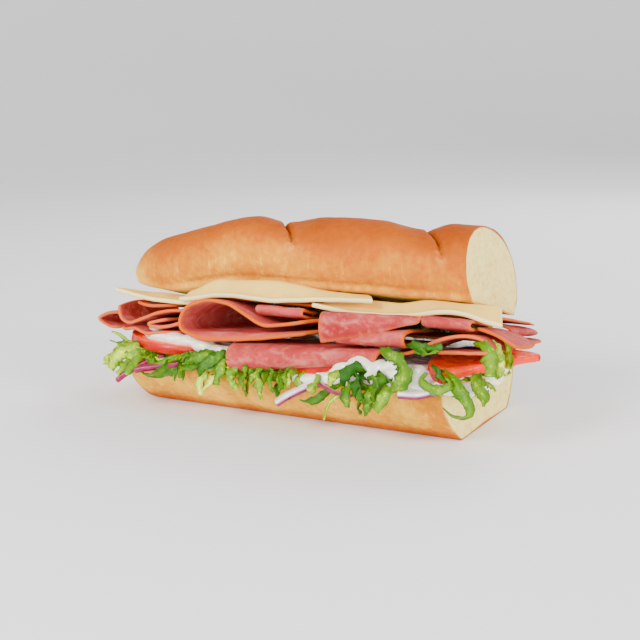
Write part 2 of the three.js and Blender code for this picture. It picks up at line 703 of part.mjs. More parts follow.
function meshOf(solid, name, material) {
  const { vertProperties, triVerts } = solid.getMesh();
  const geometry = new THREE.BufferGeometry();
  geometry.setAttribute("position", new THREE.BufferAttribute(vertProperties, 3));
  geometry.setIndex(new THREE.BufferAttribute(triVerts, 1));
  const mesh = new THREE.Mesh(geometry, material);
  mesh.name = name;
  return mesh;
}

// The origin is under the middle of the whole, on the surface that it stands on.
const sandwich = new THREE.Group();
for (const [name, [solid, material]] of solids) sandwich.add(meshOf(solid, name, material));
const middle = new THREE.Box3().setFromObject(sandwich).getCenter(new THREE.Vector3());
sandwich.position.set(-middle.x, -middle.y, 0);

export default sandwich;
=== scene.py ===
import json
import math

import bpy
import numpy as np
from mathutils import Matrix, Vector, noise

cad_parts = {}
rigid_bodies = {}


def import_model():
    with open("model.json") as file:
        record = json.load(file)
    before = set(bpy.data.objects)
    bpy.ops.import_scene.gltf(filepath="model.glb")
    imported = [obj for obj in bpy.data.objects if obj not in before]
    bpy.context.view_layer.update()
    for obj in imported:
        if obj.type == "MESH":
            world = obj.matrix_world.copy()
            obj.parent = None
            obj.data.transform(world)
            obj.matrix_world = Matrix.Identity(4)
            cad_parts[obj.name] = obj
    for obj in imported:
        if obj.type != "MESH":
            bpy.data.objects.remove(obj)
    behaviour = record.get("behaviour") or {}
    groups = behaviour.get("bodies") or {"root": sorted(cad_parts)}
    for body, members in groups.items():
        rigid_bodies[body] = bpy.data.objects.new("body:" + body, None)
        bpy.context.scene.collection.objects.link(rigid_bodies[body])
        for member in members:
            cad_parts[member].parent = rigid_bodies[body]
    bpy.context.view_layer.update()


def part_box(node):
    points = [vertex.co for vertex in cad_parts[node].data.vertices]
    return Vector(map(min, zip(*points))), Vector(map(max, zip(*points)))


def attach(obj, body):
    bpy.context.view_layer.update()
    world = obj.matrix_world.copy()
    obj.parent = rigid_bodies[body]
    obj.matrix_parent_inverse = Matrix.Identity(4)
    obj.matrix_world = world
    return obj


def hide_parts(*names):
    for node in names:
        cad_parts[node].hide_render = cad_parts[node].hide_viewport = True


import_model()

heel_low, heel_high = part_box("bread_heel")
HEEL_CUT = 69.0
HEEL_MIDDLE = 4.0
SHIFT = np.array([heel_high.x * 1000 - HEEL_CUT, (heel_low.y + heel_high.y) * 500 - HEEL_MIDDLE, 0.0])

# Studio
# A plain pale floor that sweeps up all round into a pale wall. Soft lamps stand above the open side to
# its left, low in front to its right, at the cut end and behind, and the camera is at the eyes of a
# seated person.
FLOOR_WHITE = (0.92, 0.92, 0.92, 1.0)
FLOOR_ROUGHNESS = 0.9
SWEEP = [
    (0.0, 0.0), (0.7, 0.0), (1.1, 0.0), (1.4, 0.03), (1.65, 0.14), (1.82, 0.36), (1.88, 0.7), (1.9, 1.3),
]
SWEEP_SIDES = 96
SKY_WHITE = (1.0, 1.0, 1.0, 1.0)
SKY_LIGHT = 0.68
# Each lamp: its place, its width and its power.
LAMPS = {
    "key_lamp": ((-0.25, -0.85, 0.52), 0.35, 12.0),
    "front_lamp": ((0.4, -0.95, 0.1), 0.5, 8.0),
    "end_lamp": ((0.95, -0.25, 0.4), 0.4, 8.0),
    "back_lamp": ((0.1, 0.85, 0.7), 0.6, 8.0),
}
LIT_POINT = (0.0, 0.0, 0.035)
LENS = 67.1
SENSOR_WIDTH = 36.0
CAMERA_PLACE = (0.2145, -0.4108, 0.1252)
CAMERA_TURN = math.radians(27.5)
CAMERA_PITCH = math.radians(11.1)

sweep_points = []
for reach, level in SWEEP[1:]:
    for n in range(SWEEP_SIDES):
        heading = 2 * math.pi * n / SWEEP_SIDES
        sweep_points.append((reach * math.cos(heading), reach * math.sin(heading), level))
sweep_faces = [list(range(SWEEP_SIDES))]
for ring in range(len(SWEEP) - 2):
    for n in range(SWEEP_SIDES):
        a = ring * SWEEP_SIDES + n
        b = ring * SWEEP_SIDES + (n + 1) % SWEEP_SIDES
        sweep_faces.append([a, a + SWEEP_SIDES, b + SWEEP_SIDES, b])
sweep = bpy.data.meshes.new("floor")
sweep.from_pydata(sweep_points, [], sweep_faces)
sweep.shade_smooth()
floor = bpy.data.objects.new("floor", sweep)
bpy.context.scene.collection.objects.link(floor)
paper = bpy.data.materials.new("floor_white")
paper.use_nodes = True
paper.node_tree.nodes["Principled BSDF"].inputs["Base Color"].default_value = FLOOR_WHITE
paper.node_tree.nodes["Principled BSDF"].inputs["Roughness"].default_value = FLOOR_ROUGHNESS
sweep.materials.append(paper)

world = bpy.data.worlds.new("studio")
world.use_nodes = True
world.node_tree.nodes["Background"].inputs["Color"].default_value = SKY_WHITE
world.node_tree.nodes["Background"].inputs["Strength"].default_value = SKY_LIGHT
bpy.context.scene.world = world


def put(name, data, place, sight):
    """Sets up a lamp or the camera at its place, looking along sight."""
    holder = bpy.data.objects.new(name, data)
    bpy.context.scene.collection.objects.link(holder)
    holder.location = place
    holder.rotation_mode = "QUATERNION"
    holder.rotation_quaternion = sight.to_track_quat("-Z", "Y")
    return holder


for name, (place, width, power) in LAMPS.items():
    light = bpy.data.lights.new(name, "AREA")
    light.shape = "SQUARE"
    light.size = width
    light.energy = power
    put(name, light, place, Vector(LIT_POINT) - Vector(place))

camera_data = bpy.data.cameras.new("camera")
camera_data.lens = LENS
camera_data.sensor_width = SENSOR_WIDTH
level_reach = math.cos(CAMERA_PITCH)
sight = Vector((
    -math.sin(CAMERA_TURN) * level_reach, math.cos(CAMERA_TURN) * level_reach, -math.sin(CAMERA_PITCH),
))
camera_place = (np.array(CAMERA_PLACE) + SHIFT / 1000).tolist()
bpy.context.scene.camera = put("camera", camera_data, camera_place, sight)

# Heel of the bread
# The lower half of the roll: soft wheat crumb in a thin pale golden crust, baked flat where it lay on
# the tray, slit across the top by a knife and cut off square at the right end.
HEEL_LEFT = -82.0
HEEL_HALF_WIDTH = 39.0
HEEL_FOOT = 25.0 / HEEL_HALF_WIDTH
HEEL_HEIGHT = 19.0
HEEL_CAP = 22.0
HEEL_BRIM = 0.985
RING_STEP = 1.1
END_STEPS = 4
CRUST_COLOURS = [(0.0, "f6be40"), (0.28, "d4861a"), (0.55, "bc5e10"), (1.0, "a04404")]
CRUMB_COLOURS = ("ffea90", "f4c868")
SLASH_COLOUR = "e2a24c"


def smooth(a, b, t):
    """Runs evenly from 0 at a to 1 at b."""
    t = np.clip((np.asarray(t, float) - a) / (b - a), 0, 1)
    return t * t * (3 - 2 * t)


def lerp(a, b, t):
    return a + (b - a) * t


def bump(t, width):
    return np.exp(-((t / width) ** 2))


def grain(points, size, seed=0.0):
    """Smooth noise, about -1 to 1, with features of the given size in millimetres."""
    flat = np.asarray(points, float).reshape(-1, 3) / size + (seed, 2.3 * seed, 0.7 * seed)
    values = np.array([noise.noise(p) for p in flat.tolist()])
    return values.reshape(np.shape(points)[:-1])


def end_round(x, left, cap, bluntness):
    """Share of its full size that the roll has at x, near its rounded left end."""
    t = np.clip((x - left) / cap, 0, 1)
    return (1 - (1 - t) ** 2.3) ** (1 / bluntness)


def tube_faces(rings, around):
    """Quads between rings of points, each ring joined to the next all the way round."""
    i, j = np.meshgrid(np.arange(rings - 1), np.arange(around), indexing="ij")
    a = i * around + j
    b = i * around + (j + 1) % around
    return np.stack([a, b, b + around, a + around], -1).reshape(-1, 4).tolist()


def loaf(rings, end_steps, cut_steps):
    """Closes rings of points along the roll at both ends, with smaller rings down to a point.
    Returns points, faces, and for each point its ring, its place in it and its depth in the cut face."""
    count, around = rings.shape[:2]
    first = rings[0]
    last = rings[-1]
    blocks = []
    rows = []
    depths = []
    for share in np.linspace(0, 1, end_steps + 1)[1:-1]:
        blocks.append(lerp(first.mean(0), first, share))
        rows.append(0)
        depths.append(np.zeros(around))
    for row in range(count):
        blocks.append(rings[row])
        rows.append(row)
        depths.append(np.zeros(around))
    reach = np.linalg.norm(last - last.mean(0), axis=1)
    for share in np.linspace(1, 0, cut_steps + 1)[1:-1]:
        blocks.append(lerp(last.mean(0), last, share))
        rows.append(count - 1)
        depths.append((1 - share) * reach)
    points = np.concatenate(blocks + [[first.mean(0)], [last.mean(0)]])
    faces = tube_faces(len(blocks), around)
    near = len(blocks) * around
    final = (len(blocks) - 1) * around
    for j in range(around):
        k = (j + 1) % around
        faces.append([near, k, j])
        faces.append([near + 1, final + j, final + k])
    row = np.append(np.repeat(rows, around), [0, count - 1])
    spot = np.append(np.tile(np.arange(around), len(blocks)), [0, 0])
    depth = np.append(np.concatenate(depths), [0, reach.max()])
    return points, faces, row, spot, depth


def facing_out(points, faces):
    """Turns all faces round if they point inwards."""
    corners = np.array([f[:3] for f in faces])
    a, b, c = (points[corners[:, k]] for k in range(3))
    volume = np.einsum("ij,ij->i", a, np.cross(b, c)).sum()
    if volume < 0:
        return [f[::-1] for f in faces]
    return faces


def plain_mesh(name, points, faces, marks):
    """A closed mesh from points in millimetres. Marks are named numbers at its points for the finish."""
    mesh = bpy.data.meshes.new(name)
    place = (np.asarray(points) + SHIFT) * 0.001
    mesh.from_pydata(place.tolist(), [], facing_out(place, faces))
    for mark, values in marks.items():
        layer = mesh.attributes.new(mark, "FLOAT", "POINT")
        layer.data.foreach_set("value", np.asarray(values, np.float32))
    mesh.shade_smooth()
    return mesh


def serve(name, mesh, finish, node):
    """Puts a finished mesh on the plate as the piece that stands for a CAD node."""
    piece = bpy.data.objects.new(name, mesh)
    bpy.context.scene.collection.objects.link(piece)
    mesh.materials.append(finish.material)
    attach(piece, "root")
    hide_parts(node)


def serve_cut(node, ending, points, faces, marks, finish):
    """Serves a slice or strip, named after the CAD node that it stands for."""
    serve(node + ending, plain_mesh(node + ending, points, faces, marks), finish, node)


class Wire:
    """A number in a finish that can be used in sums."""

    def __init__(self, finish, socket):
        self.finish = finish
        self.socket = socket

    def sum(self, operation, a, b):
        return self.finish.node("ShaderNodeMath", {"operation": operation}, {0: a, 1: b})

    def __add__(self, other):
        return self.sum("ADD", self, other)

    def __radd__(self, other):
        return self.sum("ADD", other, self)

    def __sub__(self, other):
        return self.sum("SUBTRACT", self, other)

    def __rsub__(self, other):
        return self.sum("SUBTRACT", other, self)

    def __mul__(self, other):
        return self.sum("MULTIPLY", self, other)

    def __rmul__(self, other):
        return self.sum("MULTIPLY", other, self)


def shade(code):
    """A colour from its usual six-figure code."""
    parts = [int(code[k : k + 2], 16) / 255 for k in (0, 2, 4)]
    return tuple(c / 12.92 if c <= 0.04045 else ((c + 0.055) / 1.055) ** 2.4 for c in parts) + (1.0,)


def new_node(tree, kind, settings, sockets):
    """Any node: its settings first, then the values or links of its sockets. Returns its outputs."""
    made = tree.nodes.new(kind)
    for key, value in settings.items():
        if key == "stops":
            while len(made.color_ramp.elements) < len(value):
                made.color_ramp.elements.new(0.5)
            for element, (where, code) in zip(made.color_ramp.elements, value):
                element.position = where
                element.color = shade(code)
        else:
            setattr(made, key, value)
    for key, value in sockets.items():
        if isinstance(value, bpy.types.NodeSocket):
            tree.links.new(value, made.inputs[key])
        else:
            made.inputs[key].default_value = value
    return made.outputs


class Finish:
    """What a food looks like: a material with even values set on the shader, and nodes for the rest."""

    def __init__(self, name, softness, depth, even):
        self.material = bpy.data.materials.new(name)
        self.material.use_nodes = True
        self.tree = self.material.node_tree
        self.shader = self.tree.nodes["Principled BSDF"]
        for socket, value in {"Subsurface Weight": softness, "Subsurface Scale": depth, **even}.items():
            self.shader.inputs[socket].default_value = value
        self.here = self.place()

    def node(self, kind, settings, sockets, output=0):
        bare = {key: value.socket if isinstance(value, Wire) else value for key, value in sockets.items()}
        return Wire(self, new_node(self.tree, kind, settings, bare)[output])

    def mark(self, name):
        return self.node("ShaderNodeAttribute", {"attribute_name": name}, {}, 2)

    def place(self, scale=(1.0, 1.0, 1.0), turn=(0.0, 0.0, 0.0)):
        """Object coordinates, in lengths of the given scale."""
        where = self.node("ShaderNodeTexCoord", {}, {}, 3)
        return self.node("ShaderNodeMapping", {}, {"Vector": where, "Scale": scale, "Rotation": turn})

    def speckle(self, scale, detail=2.0, distortion=0.0, where=None):
        sockets = {"Vector": where or self.here, "Scale": scale, "Detail": detail, "Distortion": distortion}
        return self.node("ShaderNodeTexNoise", {}, sockets)

    def cells(self, scale):
        return self.node("ShaderNodeTexVoronoi", {}, {"Vector": self.here, "Scale": scale})

    def ramp(self, value, low, high):
        """0 below low and 1 above high."""
        settings = {"interpolation_type": "SMOOTHSTEP"}
        return self.node("ShaderNodeMapRange", settings, {0: value, 1: low, 2: high, 3: 0.0, 4: 1.0})

    def shades(self, value, stops):
        return self.node("ShaderNodeValToRGB", {"stops": stops}, {0: value})

    def mix(self, share, a, b):
        a, b = (shade(c) if isinstance(c, str) else c for c in (a, b))
        return self.node("ShaderNodeMix", {"data_type": "RGBA"}, {0: share, 6: a, 7: b}, 2)

    def coat(self, colour, roughness, height, strength, distance):
        """Gives the shader what changes over the surface, with relief from height in metres."""
        sockets = {"Height": height, "Strength": strength, "Distance": distance}
        relief = self.node("ShaderNodeBump", {}, sockets)
        for name, wire in {"Base Color": colour, "Roughness": roughness, "Normal": relief}.items():
            self.tree.links.new(wire.socket, self.shader.inputs[name])


# The marks of bread: bake is how brown the crust is, crumb is 1 on cut faces, side is 1 on the lower
# wall of the crust, where it is wrinkled, and torn is 1 in the slashes, where it is ragged and pale.
bread = Finish("bread", 0.08, 0.002, {"Specular IOR Level": 0.03})
broad = bread.speckle(70.0, 3.0)
fine = bread.speckle(420.0, 4.0)
flecks = bread.ramp(bread.speckle(1300.0, 2.0), 0.6, 0.72)
wrinkle = bread.speckle(620.0, 3.0, 0.4, bread.place((1.0, 1.0, 0.1)))
creases = bread.ramp(wrinkle, 0.56, 0.72) * bread.mark("side")
bake = bread.mark("bake") + 0.5 * (broad - 0.5) + 0.4 * (fine - 0.5) - 0.08 * flecks - 0.16 * creases
crust = bread.mix(0.5 * bread.mark("torn"), bread.shades(bake, CRUST_COLOURS), SLASH_COLOUR)
# The pores are pits in the crumb's relief, and the crumb colour is painted darker in them: painted shade in
# the pits.
pore_pits_and_shade = bread.ramp(bread.cells(560.0), 0.42, 0.12)
crumb_grain = bread.speckle(240.0, 4.0)
crumb = bread.mix(0.28 * pore_pits_and_shade + 0.5 * bread.ramp(crumb_grain, 0.42, 0.75), *CRUMB_COLOURS)
crust_height = 0.4 * fine + 0.5 * wrinkle * bread.mark("side") + 0.15 * flecks
crumb_height = 1.3 * crumb_grain - 0.9 * pore_pits_and_shade
bread.coat(
    bread.mix(bread.mark("crumb"), crust, crumb),
    0.55 + 0.3 * bread.mark("crumb") + 0.1 * (fine - 0.5),
    crust_height + bread.mark("crumb") * (crumb_height - crust_height), 0.75, 0.0006,
)


def heel_outline(under=26, wall=26, top=40):
    """The heel seen from its end, in shares of its half width and height."""
    def side(t):
        return lerp(HEEL_FOOT, 1, np.sin(t * np.pi / 2) ** 0.85), 0.95 * t

    right = [side((i / wall) ** 1.35) for i in range(wall + 1)] + [(HEEL_BRIM, 1.0)]
    points = [(lerp(-HEEL_FOOT, HEEL_FOOT, i / under), 0.0) for i in range(under)]
    points += right
    points += [(lerp(HEEL_BRIM, -HEEL_BRIM, i / top), 1.0) for i in range(1, top)]
    points += [(-a, b) for a, b in right[:0:-1]]
    return np.array(points)


def stations(left, cap, cut, step, rounds):
    """Places along the roll for its rings, close together at the rounded end."""
    cap_part = left + cap * (np.linspace(0.0, 1.0, rounds + 1)[1:] ** 1.9)
    body = np.arange(left + cap, cut, step)[1:]
    return np.concatenate([cap_part[:-1], [left + cap], body, [cut]])


def heel_rings(xs):
    side, height = heel_outline().T
    station = xs[:, None]
    flare = 3 * (1 - height) * smooth(-50, -80, station)
    lean = 3 * height * smooth(50, HEEL_CUT, station)
    round_share = end_round(station, HEEL_LEFT, HEEL_CAP, 2.3)
    x = station + flare - lean
    y = HEEL_MIDDLE + side * HEEL_HALF_WIDTH * round_share
    z = height * HEEL_HEIGHT + 0 * station
    return np.stack([x, y, z], -1), side, height


def crumbed(points, mark, push):
    """Pits and lumps of torn or cut crumb, along the direction push where mark is 1."""
    lumps = 0.3 * grain(points, 2.6, 3.0) - 0.55 * np.maximum(0, grain(points, 1.5, 8.0) - 0.1)
    return points + (mark * lumps)[:, None] * np.asarray(push)


def heel_mesh():
    rings, side, height = heel_rings(stations(HEEL_LEFT, HEEL_CAP, HEEL_CUT, RING_STEP, 26))
    points, faces, _, spot, depth = loaf(rings, END_STEPS, 40)
    side = side[spot]
    height = height[spot]
    on_face = smooth(0.5, 1.4, depth)
    on_top = smooth(0.975, 1.0, points[:, 2] / HEEL_HEIGHT) * smooth(0.99, 0.96, np.abs(side))
    crumb_mark = np.maximum(on_face, on_top)
    swell = 0.35 * grain(points, 16, 5.0) + 0.14 * grain(points, 4.5, 9.0)
    wall = smooth(0.02, 0.2, height) * smooth(1.0, 0.9, height) * (depth == 0)
    points[:, 1] += swell * wall * np.sign(side)
    points[:, 2] += 0.5 * grain(points, 7, 2.0) * smooth(0.93, 1.0, height) * (depth == 0)
    points = crumbed(points, on_face, (0.8, 0, 0))
    tray = smooth(0.3, 0.02, height)
    bake_mark = 0.12 + 0.46 * tray + 0.1 * smooth(0.45, 0.9, height) + 0.16 * grain(points, 14, 1.0)
    bake_mark += 0.15 * smooth(45, 69, points[:, 0]) * (1 - smooth(0.7, 1, height))
    marks = {"bake": bake_mark, "crumb": crumb_mark, "side": wall * 0.8, "torn": np.zeros(len(points))}
    return plain_mesh("heel_of_bread", points, faces, marks)


serve("heel_of_bread", heel_mesh(), bread, "bread_heel")

# Crown of the bread
# The upper half of the roll, baked a deeper gold on its ridge. The baker's two slashes opened in the
# oven and part it into three humps. It rests tilted on the filling, with its cut side down.
CROWN_LEFT = -86.0
CROWN_CUT = 71.0
CROWN_HALF_WIDTH = 30.0
CROWN_HEIGHT = 31.4
CROWN_MIDDLE = 4.6
CROWN_BASE = 44.0
CROWN_TILT = math.radians(15)
CROWN_CAP = 54.0
CROWN_DROOP = 6.5
SLASHES = (-18.0, 42.0)
SLASH_SLANT = 0.66
SLASH_DEPTH = 3.6
SLASH_WIDTH = 1.4
VALLEY_DEPTH = 2.9
VALLEY_WIDTH = 8
DIP_DEPTH = 1.1
DIP_AWAY = 9
DIP_WIDTH = 6
SHOULDER = 0.3
UNDER = 0.82


def crown_outline(under=56, low=12, arc=112):
    """The crown seen from its end, in shares of its half width and height."""
    def power(x, n):
        return np.sign(x) * np.abs(x) ** n

    low_t = np.linspace(0, 1, low, endpoint=False)
    wall = lerp(UNDER, 1, np.sin(low_t * np.pi / 2))
    angle = np.linspace(0, np.pi, arc + 1)
    side = [lerp(UNDER, -UNDER, np.arange(under) / under), -wall, -power(np.cos(angle), 0.92)]
    side.append(wall[:0:-1])
    height = [np.zeros(under), SHOULDER * low_t, SHOULDER + (1 - SHOULDER) * power(np.sin(angle), 0.86)]
    height.append(SHOULDER * low_t[:0:-1])
    return np.concatenate(side), np.concatenate(height)


def crown_droop(x):
    return CROWN_DROOP * smooth(-18, -64, x)


def crown_slant(station):
    """How slantwise a ring runs: square at both ends, along the slashes in between."""
    before = SLASH_SLANT * (station - CROWN_LEFT) / (SLASHES[0] - CROWN_LEFT)
    after = SLASH_SLANT * (1 - np.maximum(0, (station - SLASHES[1]) / (CROWN_CUT - SLASHES[1])))
    return np.where(station < SLASHES[0], before, after)


def crown_rings(xs):
    side, height = crown_outline()
    station = xs[:, None]
    round_share = end_round(station, CROWN_LEFT, CROWN_CAP, 1.9)
    blunt = end_round(station, CROWN_LEFT, CROWN_CAP, 3.4)
    core = 0.3 * CROWN_HEIGHT
    v = side * CROWN_HALF_WIDTH * lerp((round_share + blunt) / 2, round_share, smooth(0, 0.8, height))
    above = height * CROWN_HEIGHT - core
    w = core + above * np.where(above > 0, round_share, blunt)
    on_top = smooth(0.4, 0.75, height)
    for slash in SLASHES:
        away = station - slash
        ragged = away + 0.5 * np.sin(v * 0.37 + 1) + 0.25 * np.sin(v * 2.3)
        opened = SLASH_DEPTH * bump(ragged, SLASH_WIDTH) + VALLEY_DEPTH * bump(away, VALLEY_WIDTH)
        w -= on_top * height * opened
    w -= 1.2 * bump(station + 44, 16) * on_top
    dips = [bump(station - slash - away, DIP_WIDTH) for slash, away in zip(SLASHES, (DIP_AWAY, -DIP_AWAY))]
    w -= DIP_DEPTH * sum(dips) * on_top
    lean = 2.2 * height * smooth(45, CROWN_CUT, station)
    x = station - crown_slant(station) * v - lean
    y = CROWN_MIDDLE + v * math.cos(CROWN_TILT)
    z = CROWN_BASE - crown_droop(x) - v * math.sin(CROWN_TILT) + w * math.cos(CROWN_TILT)
    return np.stack([x, y, z], -1), side, height


def crown_mesh():
    close = np.concatenate([slash + np.arange(-4.2, 4.21, 0.35) for slash in SLASHES])
    plain = stations(CROWN_LEFT, CROWN_CAP, CROWN_CUT, RING_STEP, 44)
    plain = [x for x in plain if min(abs(x - slash) for slash in SLASHES) > 4.5]
    xs = np.sort(np.concatenate([plain, close]))
    rings, side, height = crown_rings(xs)
    points, faces, row, spot, depth = loaf(rings, END_STEPS, 44)
    station = xs[row]
    side = side[spot]
    height = height[spot]
    on_face = smooth(0.5, 1.3, depth)
    below = (height <= 0) * smooth(UNDER, UNDER - 0.05, np.abs(side))
    crust_part = (1 - below) * (depth == 0)
    rough = 0.55 * grain(points, 22, 4.0) + 0.16 * grain(points, 5, 6.0)
    low = smooth(0.0, 0.06, height) * smooth(0.5, 0.2, height) * crust_part
    rough += 0.22 * low * grain(points * (1, 1, 0.25), 1.6, 2.0)
    points[:, 1] += rough * side * crust_part
    points[:, 2] += rough * height * crust_part
    lip = bump(height - 0.075, 0.03) * crust_part * smooth(-70, -50, station)
    points[:, 1] -= 1.2 * lip * np.sign(side) * (1 + 0.6 * grain(points, 6, 1.0))
    points = crumbed(points, on_face, (0.8, 0, 0))
    gap = np.minimum(*[np.abs(station - slash) for slash in SLASHES])
    streak = bump(gap, 1.1 + 2.2 * smooth(0.75, 0.4, height)) * smooth(0.3, 0.5, height)
    torn = streak * smooth(0.95, 0.6, height) * smooth(-0.3, 0.15, grain(points, 2.2, 7.0))
    bake_mark = 0.3 + 0.5 * smooth(0.2, 0.95, height) + 0.12 * grain(points, 18, 3.0)
    bake_mark += 0.12 * smooth(-60, 60, station) - 0.22 * smooth(0.18, 0.0, height)
    bake_mark -= 0.22 * smooth(-60, -86, points[:, 0])
    crumb_mark = np.maximum(on_face, below * (depth == 0))
    marks = {"bake": bake_mark, "crumb": crumb_mark, "side": low * 0.9, "torn": torn * crust_part}
    return plain_mesh("crown_of_bread", points, faces, marks)


serve("crown_of_bread", crown_mesh(), bread, "bread_crown")

# Cheese
# Three triangles of mild pale cheese, about two millimetres thick and cut from a block, laid under the
# crown. They are soft enough to bend down over the ham where they come out in front.
FRONT = -38.0
SQUEEZE = 0.0075
CHEESE_THICKNESS = 1.9
CHEESE_TIP = 12
BULGE_LINE = -26.5
BULGE_WIDTH = 3.2
# Each slice: its corners in plan, how far below the crown its two ends lie and where it passes from one
# to the other, how far in from its front edge it comes level, the heights of that edge, and of its bulge.
CHEESES = {
    "cheese_left": (
        [(-75, -31.5), (-38, -30.5), (-48, 14)], (1.8, 4.1), (0.35, 0.6), 10, (45.4, 44, 43, 42.9, 43.1),
        (0, 0),
    ),
    "cheese_middle": (
        [(-43, -33), (38, -32), (0, 22)], (1.8, 1.8), (0, 1), 6, (44.6, 47.6, 47.2, 49.2, 50.2),
        (-1.3, 1.4, 1.2, 1.7, 1.9, 1.2, 0, -0.5, -0.9),
    ),
    "cheese_right": (
        [(14, -31), (86, -31), (58, 24)], (4.2, 1.7), (0.36, 0.6), 10, (46.5, 44.9, 45.8, 48.4, 45.6),
        (0, 0),
    ),
}


def filling_share(y):
    """The filling is a wedge: the share of its depth in front that it has at y."""
    return 1 - SQUEEZE * (y - FRONT)


def squeezed(points):
    """Settles points that were drawn at the filling's full depth into the wedge."""
    settled = points.copy()
    settled[..., 2] = HEEL_HEIGHT + (points[..., 2] - HEEL_HEIGHT) * filling_share(points[..., 1])
    return settled


def unsqueezed(y, z):
    return HEEL_HEIGHT + (z - HEEL_HEIGHT) / filling_share(y)


def crown_underside(x, y):
    return CROWN_BASE - crown_droop(x) - (y - CROWN_MIDDLE) * math.tan(CROWN_TILT)


def curve_through(pairs, even=True):
    """A smooth line through pairs of numbers, run along by its length or by its pairs."""
    knots = np.array(pairs, float)
    last = len(knots) - 1

    def at(t):
        s = np.clip(t, 0, 1) * last
        i = np.minimum(np.floor(s).astype(int), last - 1)
        w = (s - i)[..., None]
        p0, p1, p2, p3 = (knots[np.clip(i + k, 0, last)] for k in (-1, 0, 1, 2))
        v0 = (p2 - p0) / 2
        v1 = (p3 - p1) / 2
        bend = (2 * p1 - 2 * p2 + v0 + v1) * w**3 + (-3 * p1 + 3 * p2 - 2 * v0 - v1) * w**2
        return bend + v0 * w + p1

    if not even:
        return at
    steps = np.linspace(0, 1, 801)
    gone = np.append(0, np.cumsum(np.linalg.norm(np.diff(at(steps), axis=0), axis=1)))
    return lambda t: at(np.interp(np.clip(t, 0, 1), gone / gone[-1], steps))


def grid(across, along):
    """u and v from -1 to 1 over a sheet."""
    return np.meshgrid(np.linspace(-1, 1, across + 1), np.linspace(-1, 1, along + 1), indexing="ij")


def sheet(middle, thickness, rounding=0.8):
    """A closed slice over a grid of middle points, with a rounded edge. Returns points, faces, the
    grid point that each comes from, and how far round the edge it is (0 on the faces)."""
    rows, columns = middle.shape[:2]
    along_u = np.gradient(middle, axis=0)
    along_v = np.gradient(middle, axis=1)
    normal = np.cross(along_u, along_v)
    normal /= np.maximum(np.linalg.norm(normal, axis=2, keepdims=True), 1e-9)
    half = np.broadcast_to(np.asarray(thickness) / 2, (rows, columns))[..., None]
    out = np.zeros_like(middle)
    out[0] -= along_u[0]
    out[-1] += along_u[-1]
    out[:, 0] -= along_v[:, 0]
    out[:, -1] += along_v[:, -1]
    index = np.arange(rows * columns).reshape(rows, columns)
    rim = np.concatenate([index[:-1, 0], index[-1, :-1], index[:0:-1, -1], index[0, :0:-1]])
    centre = middle.reshape(-1, 3)
    normal = normal.reshape(-1, 3)
    half = half.reshape(-1, 1)
    out = out.reshape(-1, 3)[rim]
    out -= normal[rim] * np.einsum("ij,ij->i", out, normal[rim])[:, None]
    out /= np.maximum(np.linalg.norm(out, axis=1, keepdims=True), 1e-9)
    parts = [centre + normal * half]
    for angle in np.radians([40, 90, 140]):
        swing = normal[rim] * math.cos(angle) + out * math.sin(angle) * rounding
        parts.append(centre[rim] + swing * half[rim])
    parts.append(centre - normal * half)
    count = rows * columns
    ring = len(rim)
    under = count + 3 * ring
    a = index[:-1, :-1].ravel()
    b = index[1:, :-1].ravel()
    c = index[1:, 1:].ravel()
    d = index[:-1, 1:].ravel()
    upper = np.stack([a, b, c, d], -1)
    lower = np.stack([d, c, b, a], -1) + under
    loops = [rim] + [count + k * ring + np.arange(ring) for k in range(3)] + [rim + under]
    bands = []
    for one, two in zip(loops, loops[1:]):
        bands.append(np.stack([np.roll(one, -1), one, two, np.roll(two, -1)], -1))
    faces = np.concatenate([upper, lower, *bands]).tolist()
    source = np.concatenate([np.arange(count), rim, rim, rim, np.arange(count)])
    around = np.concatenate([np.zeros(count), np.repeat([0.7, 1.0, 0.7], ring), np.zeros(count)])
    return np.concatenate(parts), faces, source, around


def waved(middle, amount, size, seed):
    """Gives a sheet the unevenness of a soft slice, up and down."""
    moved = middle.copy()
    moved[..., 2] += amount * grain(middle, size, seed)
    return moved


def evenly(heights):
    """A smooth line through heights at even steps."""
    line = curve_through([(i / (len(heights) - 1), z) for i, z in enumerate(heights)], False)
    return lambda s: line(s)[..., 1]


def cheese_middle(corners, under, step, turn, lip, rise, across=150, along=84):
    """The middle surface of a triangle of cheese under the crown."""
    u, v = grid(across, along)
    a, b, c = corners
    s = (1 + u) / 2
    t = (1 + v) / 2
    tip = (c[0] - CHEESE_TIP / 2, c[0] + CHEESE_TIP / 2)
    x = lerp(lerp(a[0], b[0], s), lerp(*tip, s), t)
    y = lerp(lerp(a[1], b[1], s), c[1], t)
    below = lerp(*under, smooth(*step, s)) * filling_share(y)
    below -= evenly(rise)(s) * bump(y - BULGE_LINE, BULGE_WIDTH)
    front = unsqueezed(a[1], evenly(lip)(s))
    inside = unsqueezed(y, crown_underside(x, y) - below)
    level = smooth(a[1] + 0.5, a[1] + turn, y)
    return np.stack([x, y, lerp(front, inside, level)], -1)


cheese = Finish("cheese", 0.25, 0.003, {"Specular IOR Level": 0.25})
milk = cheese.mix(cheese.ramp(cheese.speckle(110.0, 3.0), 0.35, 0.7), "f8cc62", "ecbe58")
# The cut edge round each slice is painted paler cream: a painted highlight where the edge catches the
# light.
cheese.coat(
    cheese.mix(0.8 * cheese.mark("edge"), milk, "fdeab0"),
    0.48 + 0.2 * cheese.speckle(500.0, 2.0),
    cheese.speckle(260.0, 3.0), 0.25, 0.0004,
)

for seed, (name, cut) in enumerate(CHEESES.items()):
    middle = waved(cheese_middle(*cut), 0.3, 9, 11.0 + seed)
    points, faces, source, around = sheet(middle, CHEESE_THICKNESS, 0.6)
    serve_cut(name, "_slice", squeezed(points), faces, {"edge": around}, cheese)

# Ham
# Twenty slices of cooked and smoked ham, sliced thin off the block. Each was laid on by hand, and bent
# round itself or rolled at the open side, so that its pale inside and its tan smoked edge both show.
HAM_THICKNESS = 1.5
